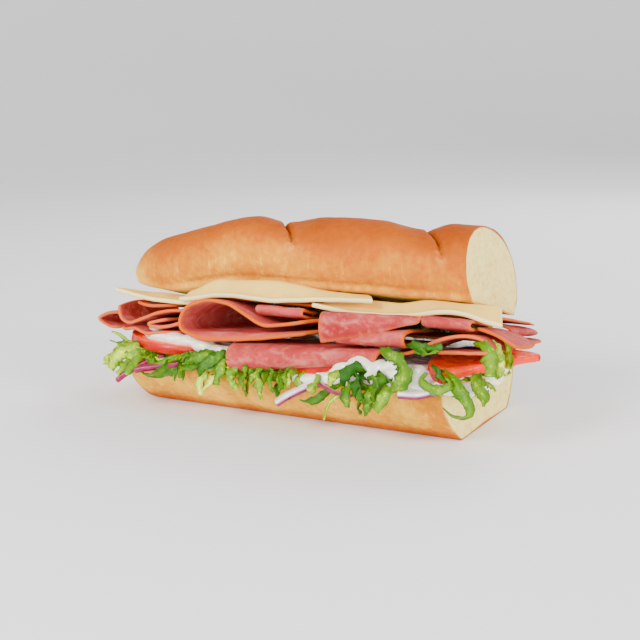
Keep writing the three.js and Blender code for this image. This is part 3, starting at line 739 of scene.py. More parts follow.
# Each fold: the way it runs and from where to where, its squareness, how tan its edge is, how red it is,
# for some the pivot and sizes of a taper, a drift, or a hem that hangs down, and its profile.
HAM = {
    "ham_tongue": (
        "y", (-28, 4), 0.4, 0.35, 0.35, {},
        [(-77, 36.4), (-82, 36), (-86.4, 33), (-82, 30), (-77, 29.8)],
    ),
    "ham_cup": (
        "y", (-33.5, 12), 0.5, 0.35, 0.6, {},
        [(-74.2, 42.6), (-73.8, 38), (-71.5, 34.4), (-67, 33.4), (-60, 36.2), (-50, 39.8), (-41.5, 40.8)],
    ),
    "ham_upper_left": (
        "y", (-31.5, 12), 0.4, 0.9, 0.4, {},
        [(-68, 42), (-60, 41.4), (-53, 41.8), (-47, 42.4)],
    ),
    "ham_lower_left": (
        "y", (-35, 12), 0.5, 0.2, 0.35, {},
        [(-73.5, 31.6), (-70, 30.6), (-64, 31.6), (-58, 30.2), (-50, 31), (-43, 31.2)],
    ),
    "ham_hook": (
        "y", (-35, 8), 0.6, 0.1, 0.3, {},
        [(-41, 36.6), (-45, 34.9), (-51, 33.2), (-55.6, 33), (-57, 34), (-54.6, 34.9), (-49, 36.6)],
    ),
    "ham_big_loop": (
        "y", (-39, 12), 0.55, 1.0, 0.3, {"hem": (0.52, 0.62, -34.2, 3.4)},
        [(19.5, 43), (8, 40.4), (-1, 38.6), (-6, 39.4), (-11, 42), (-18, 45.2), (-24.5, 46), (-31, 45.2),
         (-37, 41.8), (-39.5, 37), (-38.5, 33.8), (-34, 32.8), (-20, 33.6), (0, 35.3), (20, 38.4)],
    ),
    "ham_middle_roll": (
        "x", (-9, 10), 0.75, 0.4, 0.4, {},
        [(-18, 44.8), (-24, 44.8), (-28, 45.2), (-31, 45.6), (-32.8, 44.5), (-31.4, 43.2), (-28, 42.75),
         (-22, 42.6), (-18, 42.6)],
    ),
    "ham_low_roll": (
        "x", (-17, 44), 0.75, 0.35, 0.55, {"pivot": (-38, 29), "taper": (1, 0.36), "drift": (1, 4)},
        [(-14, 30), (-26, 29.9), (-34, 29.9), (-39, 29.4), (-42, 27.6), (-43, 24.6), (-42.4, 21.6),
         (-40.6, 20.2)],
    ),
    "ham_point": (
        "x", (21.5, 58), 0.85, 0.5, 0.8, {"pivot": (-36, 45.6), "taper": (1, 0.16), "drift": (1.2, 1.4)},
        [(-14, 41.8), (-23, 42), (-30, 42.8), (-35, 45), (-38.6, 45), (-40.6, 42), (-41, 38), (-40, 34.2)],
    ),
    "ham_orange_roll": (
        "x", (26, 54), 0.8, 1.0, 0.4, {"pivot": (-30, 35), "taper": (0.8, 1.35), "drift": (0, 1.3)},
        [(-15, 39), (-25, 39), (-33, 39), (-37, 38.2), (-38, 36.8), (-36.6, 35.3), (-32, 34.9),
         (-24, 34.9), (-15, 34.9)],
    ),
    "ham_right_loop": (
        "y", (-36, -8), 0.6, 0.35, 0.55, {},
        [(47, 32.8), (52, 33.2), (57, 35.2), (62, 38), (68, 40.6), (73, 41.8), (78, 42), (82, 41),
         (84.3, 38.8), (83, 36.8), (78, 36.2), (68, 35.4), (62, 34.2)],
    ),
    "ham_right_roll": (
        "x", (59, 76), 0.8, 0.35, 0.6, {},
        [(-13, 46.8), (-22, 47), (-29, 47.3), (-33.4, 47.1), (-35, 45.8), (-33.4, 44.6), (-29, 44.4),
         (-22, 44.3), (-13, 44.2)],
    ),
    "ham_right_strip": (
        "y", (-32, -8), 0.5, 1.0, 0.4, {},
        [(76.5, 45), (80, 44.6), (86, 42.6), (92, 39)],
    ),
    "ham_end_upper": (
        "y", (-6, 24), 0.5, 0.5, 0.5, {},
        [(46, 47.4), (62, 47.4), (76, 47.2), (81.5, 44.8), (79, 42.2), (70, 41.8), (54, 42)],
    ),
    "ham_end_lower": (
        "y", (-6, 26), 0.5, 0.6, 0.4, {},
        [(34, 37), (50, 37.6), (66, 38.6), (78, 39.4), (86, 38.8)],
    ),
    "ham_back_left": (
        "x", (-64, -22), 0.6, 0.7, 0.45, {},
        [(14, 40.6), (26, 40.2), (33.6, 39), (37, 36.4), (34, 33.6), (26, 32.6), (14, 32.4)],
    ),
    "ham_back_middle": (
        "x", (-19, 31), 0.6, 0.4, 0.5, {},
        [(14, 45), (25, 44.6), (33, 43.4), (36.4, 39.6), (33, 35.6), (26, 34.4), (14, 34.2)],
    ),
    "ham_back_upper": (
        "x", (-20, 28), 0.6, 0.9, 0.4, {},
        [(14, 47.6), (24, 47.6), (32, 47.8), (37.5, 45.8)],
    ),
    "ham_top_middle": (
        "x", (-38, 27), 0.7, 0.8, 0.4, {},
        [(-25.5, 47.7), (-16, 48.8), (-4, 49), (10, 49.4)],
    ),
    "ham_top_right": (
        "x", (30, 81), 0.7, 0.7, 0.5, {"drift": (0, 1.9)},
        [(-21.5, 47.8), (-17, 48.1), (0, 48.3), (16, 48.5), (30, 48.2)],
    ),
}


def disc(u, v, squareness=0.0):
    """Makes a square of u and v a disc, or for squareness above 0 something between the two."""
    k = (1 - squareness) / 2
    return u * np.sqrt(1 - k * v * v), v * np.sqrt(1 - k * u * u)


def ham_middle(s, t, along, run, profile, pivot=(0, 0), taper=(1, 1), drift=(0, 0), hem=None):
    """The middle surface of a fold of ham."""
    way = (1 + s) / 2
    depth = (1 + t) / 2
    point = curve_through(profile)(way)
    size = lerp(*taper, depth)
    side = pivot[0] + (point[..., 0] - pivot[0]) * size + drift[0] * depth
    z = pivot[1] + (point[..., 1] - pivot[1]) * size + drift[1] * depth
    gone = (run[0] + run[1]) / 2 + (run[1] - run[0]) / 2 * t
    x, y = (gone, side) if along == "x" else (side, gone)
    if hem:
        first, last, edge, radius = hem
        past = np.maximum(0, edge - y) * smooth(first, last, way)
        bend = np.minimum(past / radius, np.pi / 2)
        y = y + past - radius * np.sin(bend)
        z = z - radius * (1 - np.cos(bend)) - np.maximum(0, past - radius * np.pi / 2)
    return np.stack([x, y, z], -1)


def ham_grid(run, profile):
    """Enough steps each way for steps of about a millimetre."""
    length = np.linalg.norm(np.diff(np.array(profile, float), axis=0), axis=1).sum()
    return int(max(36, min(120, length * 1.15))), int(max(30, min(64, (run[1] - run[0]) * 1.15)))


# The marks of ham: edge is 1 round the cut edge of the slice, tan says how far that edge was smoked,
# and red is how deep the pink of this fold is.
ham = Finish("ham", 0.12, 0.0025, {"Specular IOR Level": 0.22, "IOR": 1.3})
marbling = ham.speckle(230.0, 6.0, 0.8, ham.place((0.45, 1.0, 1.0)))
fibre = ham.speckle(520.0, 4.0, 0.0, ham.place((1.0, 0.35, 1.0), (0.0, 0.0, 0.5)))
pink = ham.mix(ham.mark("red") + 0.9 * (ham.speckle(55.0, 2.0) - 0.5), "c6524c", "961c22")
pink = ham.mix(0.55 * ham.ramp(marbling, 0.45, 0.78), pink, "dc8e84")
pink = ham.mix(0.4 * ham.ramp(fibre, 0.5, 0.75), pink, "da745c")
pink = ham.mix(0.35 * ham.ramp(marbling, 0.45, 0.25), pink, "86160f")
smoke = ham.mix(ham.mark("tan"), "e06a2c", "cc5a0c")
ham.coat(
    ham.mix(ham.mark("edge"), pink, smoke), 0.6 + 0.25 * fibre, 0.6 * fibre + 0.5 * marbling, 0.35, 0.0004,
)

for seed, (name, (along, run, square, tan, red, more, profile)) in enumerate(HAM.items()):
    u, v = grid(*ham_grid(run, profile))
    middle = waved(ham_middle(*disc(u, v, square), along, run, profile, **more), 0.3, 7, 20.0 + seed)
    out = np.maximum(np.abs(u), np.abs(v))
    thickness = HAM_THICKNESS * (1 - 0.12 * smooth(0.86, 1.0, out)) + 0.12 * grain(middle, 5, 2.0)
    points, faces, source, around = sheet(middle, thickness)
    edge = np.maximum(around, 0.85 * (smooth(0.935, 0.975, out) * tan).ravel()[source])
    marks = {"edge": edge, "tan": np.full(len(points), tan), "red": np.full(len(points), red)}
    serve_cut(name, "_slice", squeezed(points), faces, marks, ham)

# Tomato
# Two round slices and one half slice of ripe tomato, about four millimetres thick: smooth shining skin
# round the rim, and wet flesh on the cut faces, with softer pockets of seeds between its ribs.
TOMATO_THICKNESS = 3.9
# Each slice: its middle in plan, its radius, its height, how it slopes each way, and the share of a half
# turn at which it starts and ends.
TOMATOES = {
    "tomato_left": ((-50, -13), 25, 25.8, (-0.06, 0.02), 0, 2),
    "tomato_middle": ((18, -12.4), 25.4, 24.5, (0.1, 0), 0, 2),
    "tomato_right": ((80, -23.5), 21, 30.2, (0.03, 0.17), 0.308, 1.308),
}

tomato = Finish("tomato", 0.15, 0.003, {"Specular IOR Level": 0.2})
cloudy = tomato.speckle(160.0, 4.0)
flesh = tomato.mix(tomato.ramp(cloudy, 0.35, 0.7), "f82804", "ff5a1a")
flesh = tomato.mix(0.8 * tomato.mark("pocket"), flesh, "ff5c10")
skin = tomato.mix(tomato.ramp(cloudy, 0.4, 0.7), "a80401", "b40a02")
seeds = tomato.ramp(tomato.cells(620.0), 0.5, 0.1)
tomato.coat(
    tomato.mix(tomato.mark("skin"), flesh, skin), 0.16 + 0.2 * cloudy,
    0.5 * tomato.speckle(330.0, 3.0) - 0.5 * seeds, 0.4, 0.0005,
)

for name, (centre, radius, level, rise, first, last) in TOMATOES.items():
    if last - first == 2:
        u, v = grid(84, 84)
        across, along = (radius * t for t in disc(u, v))
    else:
        u, v = grid(130, 60)
        angle = lerp(first, last, (1 + u) / 2) * np.pi
        reach = lerp(0.03, 1, (1 + v) / 2) * radius
        across, along = reach * np.cos(angle), reach * np.sin(angle)
    z = level + rise[0] * across + rise[1] * along
    middle = np.stack([centre[0] + across, centre[1] + along, z], -1)
    far = np.hypot(across, along) / radius
    swing = np.arctan2(along, across)
    wheel = smooth(0.1, 0.75, np.abs(np.sin(2.5 * swing + 0.6 * np.sin(swing * 3))))
    pocket = wheel * smooth(0.22, 0.34, far) * smooth(0.86, 0.74, far)
    thickness = TOMATO_THICKNESS * (1 - 0.16 * pocket) + 0.3 * grain(middle, 2.4, 3.0) * pocket
    points, faces, source, around = sheet(middle, thickness, 0.42)
    skin_mark = around * smooth(0.95, 0.99, far.ravel()[source])
    marks = {"skin": skin_mark, "pocket": pocket.ravel()[source] * (around == 0)}
    serve_cut(name, "_slice", squeezed(points), faces, marks, tomato)

# Red onion
# Five strips cut from rings of red onion: white and juicy, with a purple skin on one side only.
WIDE_ONION = 3.5
# Each strip: its root, its tip, how far it bends up, its height and its width.
ONIONS = {
    "onion_left_tip": ((-50, -35, 21.4), (-65, -45.5, 12.4), 1.5, 2.2, 2.6),
    "onion_left": ((-34, -36, 20.8), (-56, -45.5, 17.4), 0.6, 2.4, 3),
    "onion_middle": ((27, -33, 21.8), (7.5, -47, 12.6), 1.8, 2.6, 4),
    "onion_thread": ((21, -42, 20.6), (37, -46, 18.4), -0.8, 1.2, 1.5),
    "onion_right": ((67, -39, 22.4), (54.5, -45.4, 21), -0.6, 2.4, 4.4),
}

onion = Finish("red_onion", 0.2, 0.003, {"Coat Weight": 0.1})
vein = onion.speckle(300.0, 3.0)
white = onion.mix(onion.ramp(vein, 0.4, 0.7), "f6eeec", "e6c4d2")
purple = onion.mix(onion.ramp(vein, 0.35, 0.7), "7c0236", "9c0850")
onion.coat(onion.mix(onion.mark("skin"), white, purple), 0.22 + 0.15 * vein, vein, 0.2, 0.0003)

for name, (root, tip, bend, height, width) in ONIONS.items():
    start = np.array(root, float)
    end = np.array(tip, float)
    across = np.cross(end - start, (0, 0, 1))
    across /= np.linalg.norm(across)
    u, v = grid(48, 10)
    t = (1 + u) / 2
    path = start + (end - start) * t[..., None]
    path[..., 2] += bend * 4 * t * (1 - t) + 0.15 * np.sin(9 * t)
    wide = width / 2 * (1 - 0.25 * smooth(0.75, 1, t)) * v
    middle = path + wide[..., None] * across
    middle[..., 2] -= 0.12 * height * v * v
    points, faces, source, around = sheet(middle, height * 0.92, 0.3)
    above = points[:, 2] - middle.reshape(-1, 3)[source][:, 2]
    in_front = (-v * np.sign(across[1])).ravel()[source]
    if width > WIDE_ONION:
        skin_mark = smooth(0.3, -0.1, above)
    else:
        skin_mark = np.maximum(smooth(0.75, 0.25, above), smooth(-0.5, -0.2, in_front))
    serve_cut(name, "_strip", points, faces, {"skin": skin_mark}, onion)

# Sauce
# A thick white dressing poured over the tomato and lettuce. It has run between the slices and out
# over the shreds in lumps, which have all flowed into one another.
SAUCE_LAYER = {"left": -64.0, "right": 70.0, "front": -34.0, "back": 35.0, "low": 22.6, "high": 28.6}
SAUCE_GRAIN = 0.0007
SAUCE_EASING = 4
SAUCE_RIPPLE = 0.00035
DROPS = 4
# Each lump by its middle and its reach.
SAUCE_LUMPS = [
    ((-60, -27.6, 29), (5, 4, 1.8)), ((-53.5, -31.4, 29), (5, 4, 1.9)),
    ((-46.5, -33, 28.8), (5.5, 3.4, 2.1)), ((-39.6, -32.8, 28.4), (5, 3.4, 2.3)),
    ((-33, -33.6, 27.2), (4.6, 3.4, 2.8)), ((-26.6, -35.4, 25.6), (5, 3.2, 2.4)),
    ((-20, -36, 23.8), (4.4, 3, 2)), ((-10, -36, 21.4), (6, 3, 1.8)), ((0, -36.4, 20.8), (6, 3, 1.7)),
    ((9, -38, 20.4), (6, 3, 1.6)), ((17, -38.6, 20.7), (5.4, 3, 1.8)), ((24.5, -38.4, 21.8), (5, 3, 2.4)),
    ((30.5, -38, 26.4), (4.6, 3.4, 3)), ((33, -39, 22.8), (5, 3.2, 3)), ((37, -38.4, 29), (5, 4, 2.8)),
    ((41, -38.6, 24.4), (4.6, 3.2, 3)), ((44.6, -38, 27.8), (4.4, 3.6, 3)),
    ((50, -37.4, 29.2), (4, 3.4, 2.6)), ((50.6, -38, 24.4), (4.6, 3.6, 3.4)),
    ((56.6, -37.4, 22.8), (4.4, 3.6, 2.6)), ((58, -36, 27), (4, 3.4, 3)),
    ((63, -36.6, 23.2), (4.6, 3.6, 2.4)), ((70, -37.6, 23), (4.6, 3.6, 2.4)),
    ((75.4, -35.4, 22.8), (4.2, 4, 2.8)), ((79.6, -31, 24.4), (3.6, 4, 2.8)),
    ((82.6, -25, 25.4), (2.8, 4.4, 2.6)), ((80, -14, 26.4), (3.6, 5, 2.4)), ((76, -4, 25.6), (5, 7, 3)),
    ((73, 12, 24.6), (6, 7, 3)), ((70, 26, 23.8), (5, 6, 2.6)), ((40, 36, 22.4), (8, 4, 2.4)),
    ((8, 38, 22.6), (7, 3.6, 2.6)), ((-26, 37, 22.6), (9, 4, 2.4)), ((-50, 31, 22.8), (7, 5, 2.6)),
    ((-62, 8, 24.2), (6, 8, 2.6)), ((-63, -16, 24.6), (5, 7, 2.6)),
]


def ball(middle, reach, steps=10):
    """Points and faces of an egg-shaped lump."""
    way = np.linspace(0.04, 0.96, steps)[:, None] * np.pi
    turn = np.arange(2 * steps)[None] * np.pi / steps
    x = np.sin(way) * np.cos(turn)
    y = np.sin(way) * np.sin(turn)
    z = -np.cos(way) + 0 * turn
    rings = np.stack([x, y, z], -1) * reach + middle
    points, faces = loaf(rings, 1, 1)[:2]
    return points, faces


def together(bodies):
    """Many closed bodies as one list of points and one of faces."""
    points = []
    faces = []
    first = 0
    for body_points, body_faces in bodies:
        points.append(body_points)
        faces += [[first + k for k in f] for f in facing_out(body_points, body_faces)]
        first += len(body_points)
    return np.concatenate(points), faces


def flowed_together(name, bodies):
    """One skin over many closed bodies that run into one another."""
    lump = bpy.data.objects.new(name + "_raw", plain_mesh(name + "_raw", *together(bodies), {}))
    bpy.context.scene.collection.objects.link(lump)
    skin_over = lump.modifiers.new("skin", "REMESH")
    skin_over.mode = "VOXEL"
    skin_over.voxel_size = SAUCE_GRAIN
    ease = lump.modifiers.new("ease", "SMOOTH")
    ease.factor = 0.6
    ease.iterations = SAUCE_EASING
    done = bpy.data.meshes.new_from_object(lump.evaluated_get(bpy.context.evaluated_depsgraph_get()))
    bpy.data.objects.remove(lump)
    done.name = name
    return done


def spots_of(mesh):
    """The places of a mesh's points, in metres."""
    flat = np.empty(3 * len(mesh.vertices), np.float32)
    mesh.vertices.foreach_get("co", flat)
    return flat.reshape(-1, 3)


def sauce_bodies():
    layer = SAUCE_LAYER
    u, v = grid(60, 30)
    s, t = disc(u, v, 0.75)
    lump = 1.3 * np.sin(9.3 * u + 1.1) + 0.9 * np.sin(21 * u + 2.3)
    x = lerp(layer["left"], layer["right"], (1 + s) / 2)
    y = lerp(layer["front"], layer["back"], (1 + t) / 2) + lump * np.abs(v) ** 3
    thick = layer["high"] - layer["low"] + 1.2 * grain(np.stack([x, y, 0 * x], -1), 8, 4.0)
    middle = np.stack([x, y, layer["low"] + thick / 2], -1)
    points, faces = sheet(middle, thick, 0.7)[:2]
    bodies = [(squeezed(points), faces)]
    chance = np.random.default_rng(5)
    for place, reach in SAUCE_LUMPS:
        bodies.append(ball(place, reach))
        for _ in range(DROPS):
            aside = chance.uniform(-0.85, 0.85, 3) * reach
            bodies.append(ball(np.add(place, aside), np.array(reach) * chance.uniform(0.25, 0.5), 7))
    return bodies


sauce = Finish("sauce", 0.3, 0.004, {"Coat Weight": 0.6})
swirl = sauce.speckle(90.0, 4.0, 0.8)
cream = sauce.mix(sauce.ramp(swirl, 0.35, 0.7), "fffaea", "fcf2d6")
sauce.coat(cream, 0.16 + 0.16 * swirl, sauce.speckle(300.0, 3.0) + 0.6 * swirl, 0.3, 0.0006)

poured = flowed_together("poured_sauce", sauce_bodies())
spots = spots_of(poured)
spots[:, 2] += SAUCE_RIPPLE * grain(spots * 1000, 3.4, 6.0)
spots[:, 1] += SAUCE_RIPPLE * grain(spots * 1000, 4.1, 2.0)
poured.vertices.foreach_set("co", spots.ravel())
poured.shade_smooth()
serve("poured_sauce", poured, sauce, "sauce")

# Lettuce
# Green leaf lettuce in shreds, a loose heap on the heel of the bread. In front each shred is laid one by
# one. The rest is strewn by rule round the closed side, the ends and the front of the bed, and in the
# gap between ham and crown at the back.
LEAF_THICKNESS = 0.4
LEAF_GREENS = [(0.0, "fcf874"), (0.22, "bcd428"), (0.42, "74980a"), (0.66, "467206"), (1.0, "215008")]
BED = {"left": -67, "right": 67, "front": -35, "back": 40, "floor": 19.3, "depth": 3.4}
# Each shred: the points that it runs through, its width along the way, how far it turns over, how
# much its edge is ruffled, and how dark it is, from a pale rib at 0 to a dark leaf edge at 1.
SHREDS = [
    ([(-57, -33, 22), (-62, -39, 24), (-66.5, -43, 21), (-69, -44, 16)], (5, 9, 9, 5), 0.5, 1.2, 0.25),
    ([(-55, -34, 21.6), (-60, -40, 22), (-63, -44, 18), (-65, -45, 14.6)], (5, 9, 8, 4), -0.4, 1.1, 0.35),
    ([(-60, -32, 22), (-67, -38, 23), (-71, -41.4, 20), (-72.6, -42.4, 17)], (4, 7, 8, 5), 0.4, 1.0, 0.2),
    ([(-54, -34, 21), (-57, -41, 20.6), (-59.5, -44.4, 17.5), (-60.4, -45, 15)],
     (4, 7, 6, 3), 0.6, 0.9, 0.45),
    ([(-60, -31, 25), (-64, -38, 26.6), (-66, -41, 29.4), (-69.4, -42, 30.6)],
     (2, 2, 1.7, 0.9), 0.3, 0.3, 0.3),
    ([(-62, -32, 25), (-65, -39, 26.4), (-68, -42, 26.4), (-70, -42.6, 27.6)],
     (2, 1.6, 1.2, 0.7), 0.5, 0.2, 0.5),
    ([(-36, -35, 24), (-43, -42, 19), (-49, -44.5, 16), (-54, -44.6, 16.4)],
     (4, 6.4, 6.4, 3), 0.3, 0.5, 0.6),
    ([(-34, -36, 24), (-42, -41, 22), (-48, -43, 19.4), (-52, -43.4, 18.6)],
     (3, 4.4, 4, 2), -0.2, 0.5, 0.5),
    ([(-20, -36, 23), (-23, -42, 26.4), (-29, -44.6, 24.6), (-33.6, -44.6, 21.4)],
     (4, 6.6, 6.6, 4), 0.5, 0.9, 0.62),
    ([(-16, -36, 23), (-19, -42.5, 25.6), (-24, -45.6, 23), (-27, -46, 19)],
     (5, 7, 7, 4), -0.6, 1.1, 0.75),
    ([(-22, -36, 22), (-26.4, -43, 22.6), (-31, -44.6, 20.6), (-35, -44, 20)],
     (3, 5, 5, 3), 0.4, 0.8, 0.5),
    ([(-14, -36, 22), (-16.6, -43, 24), (-18, -46, 20), (-18.6, -46.4, 16)], (5, 7, 6, 3), 0.5, 0.9, 0.5),
    ([(-22, -36, 21), (-25, -43, 20), (-26.6, -45.5, 16), (-26, -45.6, 11.4)],
     (3, 4.6, 5, 3), 0.8, 1.0, 0.12),
    ([(-17, -36, 21), (-19, -43.6, 19.6), (-22, -46.4, 16), (-24.6, -46, 13.2)],
     (2.6, 3.6, 3.4, 2), -0.8, 0.8, 0.05),
    ([(-12, -35, 22), (-13.6, -43, 21.6), (-12.6, -45.8, 18), (-10, -46, 15.4)],
     (5, 8, 7, 3.4), 0.3, 1.0, 0.4),
    ([(-7, -35, 22), (-8, -43, 22), (-7, -46.6, 17.6), (-5.4, -46.8, 13.4)],
     (6, 9, 7, 2.6), -0.4, 1.1, 0.45),
    ([(-2, -35, 22), (-2.4, -43, 21.6), (-0.6, -46.2, 17.4), (0.6, -46.2, 13)],
     (5, 8, 6, 2), 0.5, 1.2, 0.38),
    ([(3, -35, 22), (2.6, -42.6, 21.4), (3.6, -45.4, 19), (5, -45.4, 16)], (5, 7, 6, 3), -0.5, 1.0, 0.5),
    ([(8, -35, 22), (9, -41.5, 21.4), (9.6, -43.4, 19.6), (9.8, -43.8, 18.2)],
     (5, 7, 6, 4), 0.3, 1.2, 0.15),
    ([(29, -36, 21), (26, -43, 18), (21.6, -46, 14.6), (16.6, -46, 14.4)],
     (2, 3.2, 3.4, 1.6), 0.6, 0.4, 0.7),
    ([(34, -36, 21), (31, -44, 17.6), (28, -46.4, 14), (26.4, -46.6, 8.8)],
     (1.6, 1.5, 1.3, 1.6), 0.8, 0.2, 0.2),
    ([(20, -36, 22), (20.6, -42.6, 20.6), (20.4, -44.4, 19), (20, -44.8, 17.8)],
     (4, 6, 6, 4), 0.3, 0.9, 0.3),
    ([(36, -36, 23), (33, -42.6, 25.6), (29.4, -45, 24.6), (28, -45.2, 21)], (3, 5, 5, 2), 0.7, 0.7, 0.3),
    ([(41, -37, 22), (38.4, -43.6, 27.6), (35, -46, 26.4), (33.4, -46, 21.6)],
     (4, 6, 6, 4), 0.6, 0.9, 1.0),
    ([(37, -36, 22), (38, -43.4, 25.4), (38.6, -46.4, 23), (38, -46.6, 18.6)],
     (5, 7, 6, 4), -0.6, 0.9, 0.95),
    ([(33, -36, 21), (34.4, -44, 21.6), (35.4, -47.4, 18.4), (36, -47.6, 14.6)],
     (5, 7, 6, 3), 0.4, 1.0, 0.6),
    ([(38, -36, 21), (39.4, -44.4, 22), (40.6, -48, 17.6), (41, -48, 13)], (6, 8, 7, 3), -0.3, 1.2, 0.7),
    ([(43, -36, 22), (44.6, -44, 24), (44.4, -47.6, 19), (43.6, -48, 12.6)], (6, 9, 8, 3), 0.4, 1.2, 0.55),
    ([(47, -36, 22), (47.6, -43.6, 25.4), (46.6, -46, 21), (46, -46.2, 18)], (5, 8, 7, 4), 0.6, 1.0, 0.75),
    ([(50, -36, 22), (51, -44, 23), (49.4, -47.4, 18.6), (47, -47.6, 14.8)],
     (4, 5, 5.4, 3.4), 0.2, 0.4, 0.4),
    ([(45, -38, 33), (50, -42.6, 34), (55, -44.8, 32.4), (57, -45.6, 28.4), (55, -46, 24),
      (51.4, -45.6, 21.6)],
     (5, 6, 7, 7, 6, 3), 0.6, 0.6, 0.55),
    ([(47, -38, 31.6), (51.6, -42, 31.4), (54, -43.6, 28.6), (53, -44, 25.4)],
     (4, 5, 5, 3), -0.5, 0.8, 0.85),
    ([(54, -37, 36), (59, -41, 37.4), (64, -42.6, 37.6), (69, -42, 38.6)],
     (3, 4.4, 4.6, 3.4), 0.5, 0.7, 0.85),
    ([(57, -38, 36), (61, -41.6, 36.4), (64.6, -43.4, 36), (68, -43.4, 37.4)],
     (2.6, 4, 3.6, 2), -0.6, 0.6, 0.5),
    ([(66, -36, 26), (70.6, -41, 27.2), (72.2, -43, 25.4), (68, -44, 23.8), (62.6, -43.6, 26),
      (63.4, -41.6, 28.8)],
     (3, 4, 4, 4, 3.6, 2), 0.2, 0.4, 0.5),
    ([(64, -36, 30), (66.6, -41, 29.6), (69, -42.4, 28), (70.6, -42.6, 27)],
     (3, 4, 3.4, 2), 0.6, 0.5, 0.9),
    ([(67, -36, 29), (72, -41, 28), (76.4, -42.6, 23.6), (79.6, -42.6, 19), (79, -43, 15.6),
      (74.4, -43.6, 15.2), (70.4, -43.6, 17.8)],
     (4, 6, 5.6, 5, 4, 3, 1.2), 0.5, 0.4, 0.5),
    ([(77, -34, 27), (80.6, -38.6, 25.6), (83.4, -40.4, 23.6), (84, -41, 19.4)],
     (4, 8.4, 8, 1.6), 0.2, 0.6, 0.5),
    ([(79, -32, 27), (82.6, -37, 26.6), (86, -39, 26), (87.6, -39.4, 24.8)],
     (4, 6, 4.6, 1.4), -0.3, 0.5, 0.45),
    ([(77, -31, 38), (82, -35, 37.6), (84.6, -37, 34), (85, -37.4, 29)], (5, 8, 8, 5), 0.4, 0.7, 0.45),
    ([(80, -29, 37), (85, -32.6, 37), (86.8, -34, 32.6), (86, -34.4, 28)], (4, 6, 6, 4), -0.3, 0.6, 0.25),
    ([(81, -20, 36), (86, -24, 36.4), (87.6, -26, 33), (87.6, -26.4, 29.6)], (4, 5, 5, 3), 0.3, 0.7, 0.3),
]


def shred(points, widths, turn, ruffle, dark, seed, count=44, lanes=13):
    """A shred of leaf: points, faces, and its marks."""
    path = curve_through(points)(np.linspace(0, 1, count))
    ahead = np.gradient(path, axis=0)
    ahead /= np.linalg.norm(ahead, axis=1, keepdims=True)
    across = np.cross(ahead, (0.15, 1.0, 0.25))
    across /= np.linalg.norm(across, axis=1, keepdims=True)
    up = np.cross(across, ahead)
    t = np.linspace(0, 1, count)
    wide = evenly(widths)(t) / 2
    wide = wide * (1 + 0.14 * np.sin(9 * t + seed))
    lane = np.linspace(-1, 1, lanes)[None, :]
    angle = turn * 2.2 * (t - 0.35)[:, None] + 0.5 * np.sin(5 * t + seed)[:, None]
    length = np.linalg.norm(np.diff(path, axis=0), axis=1).sum()
    teeth = np.abs(np.sin(length * t[:, None] * 0.62 + seed + 1.3 * np.sign(lane)))
    nick = np.abs(np.sin(length * t[:, None] * 1.37 + 2.3 * seed + 0.8 * np.sign(lane)))
    flat = wide[:, None] * lane * (1 - np.abs(lane) ** 3 * ruffle * (0.4 * teeth + 0.28 * nick))
    phase = t[:, None] * (7 + 3 * np.sin(seed)) + seed
    lift = 0.3 * ruffle * wide[:, None] * np.abs(lane) ** 1.7 * np.sin(phase * 2.6 + 1.6 * lane)
    lift += 0.3 * wide[:, None] * (lane**2 - 0.4) * np.sin(2.1 * seed + 2 * t)[:, None]
    lift += 0.2 * ruffle * np.sin(3.1 * phase) * (1 - 0.5 * lane**2)
    one = np.cos(angle) * flat - np.sin(angle) * lift
    two = np.sin(angle) * flat + np.cos(angle) * lift
    middle = path[:, None] + across[:, None] * one[..., None] + up[:, None] * two[..., None]
    thickness = LEAF_THICKNESS * (1 - 0.5 * np.abs(lane) ** 2) + 0 * one
    thickness = thickness + 0.5 * bump(lane, 0.2) * smooth(0.7, 0.1, dark)
    middle[..., 2] += 0.36 * grain(middle, 2.1, seed) + 0.14 * grain(middle, 0.9, seed)
    middle[..., 1] += 0.3 * grain(middle, 1.8, seed + 5)
    points, faces, source = sheet(middle, thickness)[:3]
    lane_mark = (np.abs(lane) + 0 * one).ravel()[source]
    return points, faces, np.full(len(points), dark), lane_mark


def gathered(shreds):
    """Many shreds as one list of points and one of faces, with their marks."""
    points, faces, dark, lane = zip(*shreds)
    return *together(zip(points, faces)), {"dark": np.concatenate(dark), "lane": np.concatenate(lane)}


def bed_body():
    """The bed of packed shreds under the others, as a body with its marks."""
    u, v = grid(150, 90)
    s, t = disc(u, v, 0.7)
    x = lerp(BED["left"], BED["right"], (1 + s) / 2)
    y = lerp(BED["front"], BED["back"], (1 + t) / 2) + 0.9 * np.sin(x / 3.1) + 0.6 * np.sin(x / 1.3)
    flat = np.stack([x, y, 0 * x], -1)
    low = BED["floor"] + 0 * x
    lumps = BED["depth"] + 0.9 * grain(flat, 4, 1.0) + 0.5 * grain(flat, 1.6, 5.0)
    high = HEEL_HEIGHT + lumps * filling_share(y)
    middle = np.stack([x, y, (low + high) / 2], -1)
    points, faces = sheet(middle, high - low, 0.5)[:2]
    return points, faces, 0.45 + 0.35 * grain(points, 5, 3.0), np.full(len(points), 0.4)


lettuce = Finish("lettuce", 0.15, 0.0015, {"Specular IOR Level": 0.16})
mottle = lettuce.speckle(210.0, 4.0)
veins = lettuce.ramp(lettuce.speckle(520.0, 3.0, 1.2), 0.54, 0.66)
depth_of_green = lettuce.mark("dark") + 0.55 * (mottle - 0.5) + 0.26 * lettuce.mark("lane") - 0.2 * veins
greens = lettuce.shades(depth_of_green, LEAF_GREENS)
lettuce.coat(greens, 0.24 + 0.3 * mottle, 0.5 * mottle + 0.7 * veins, 0.35, 0.0004)

laid = [shred(*row, 1.7 * seed + 0.4) for seed, row in enumerate(SHREDS)]
heap = plain_mesh("lettuce_heap", *gathered([bed_body(), *laid]))
serve("lettuce_heap", heap, lettuce, "lettuce")

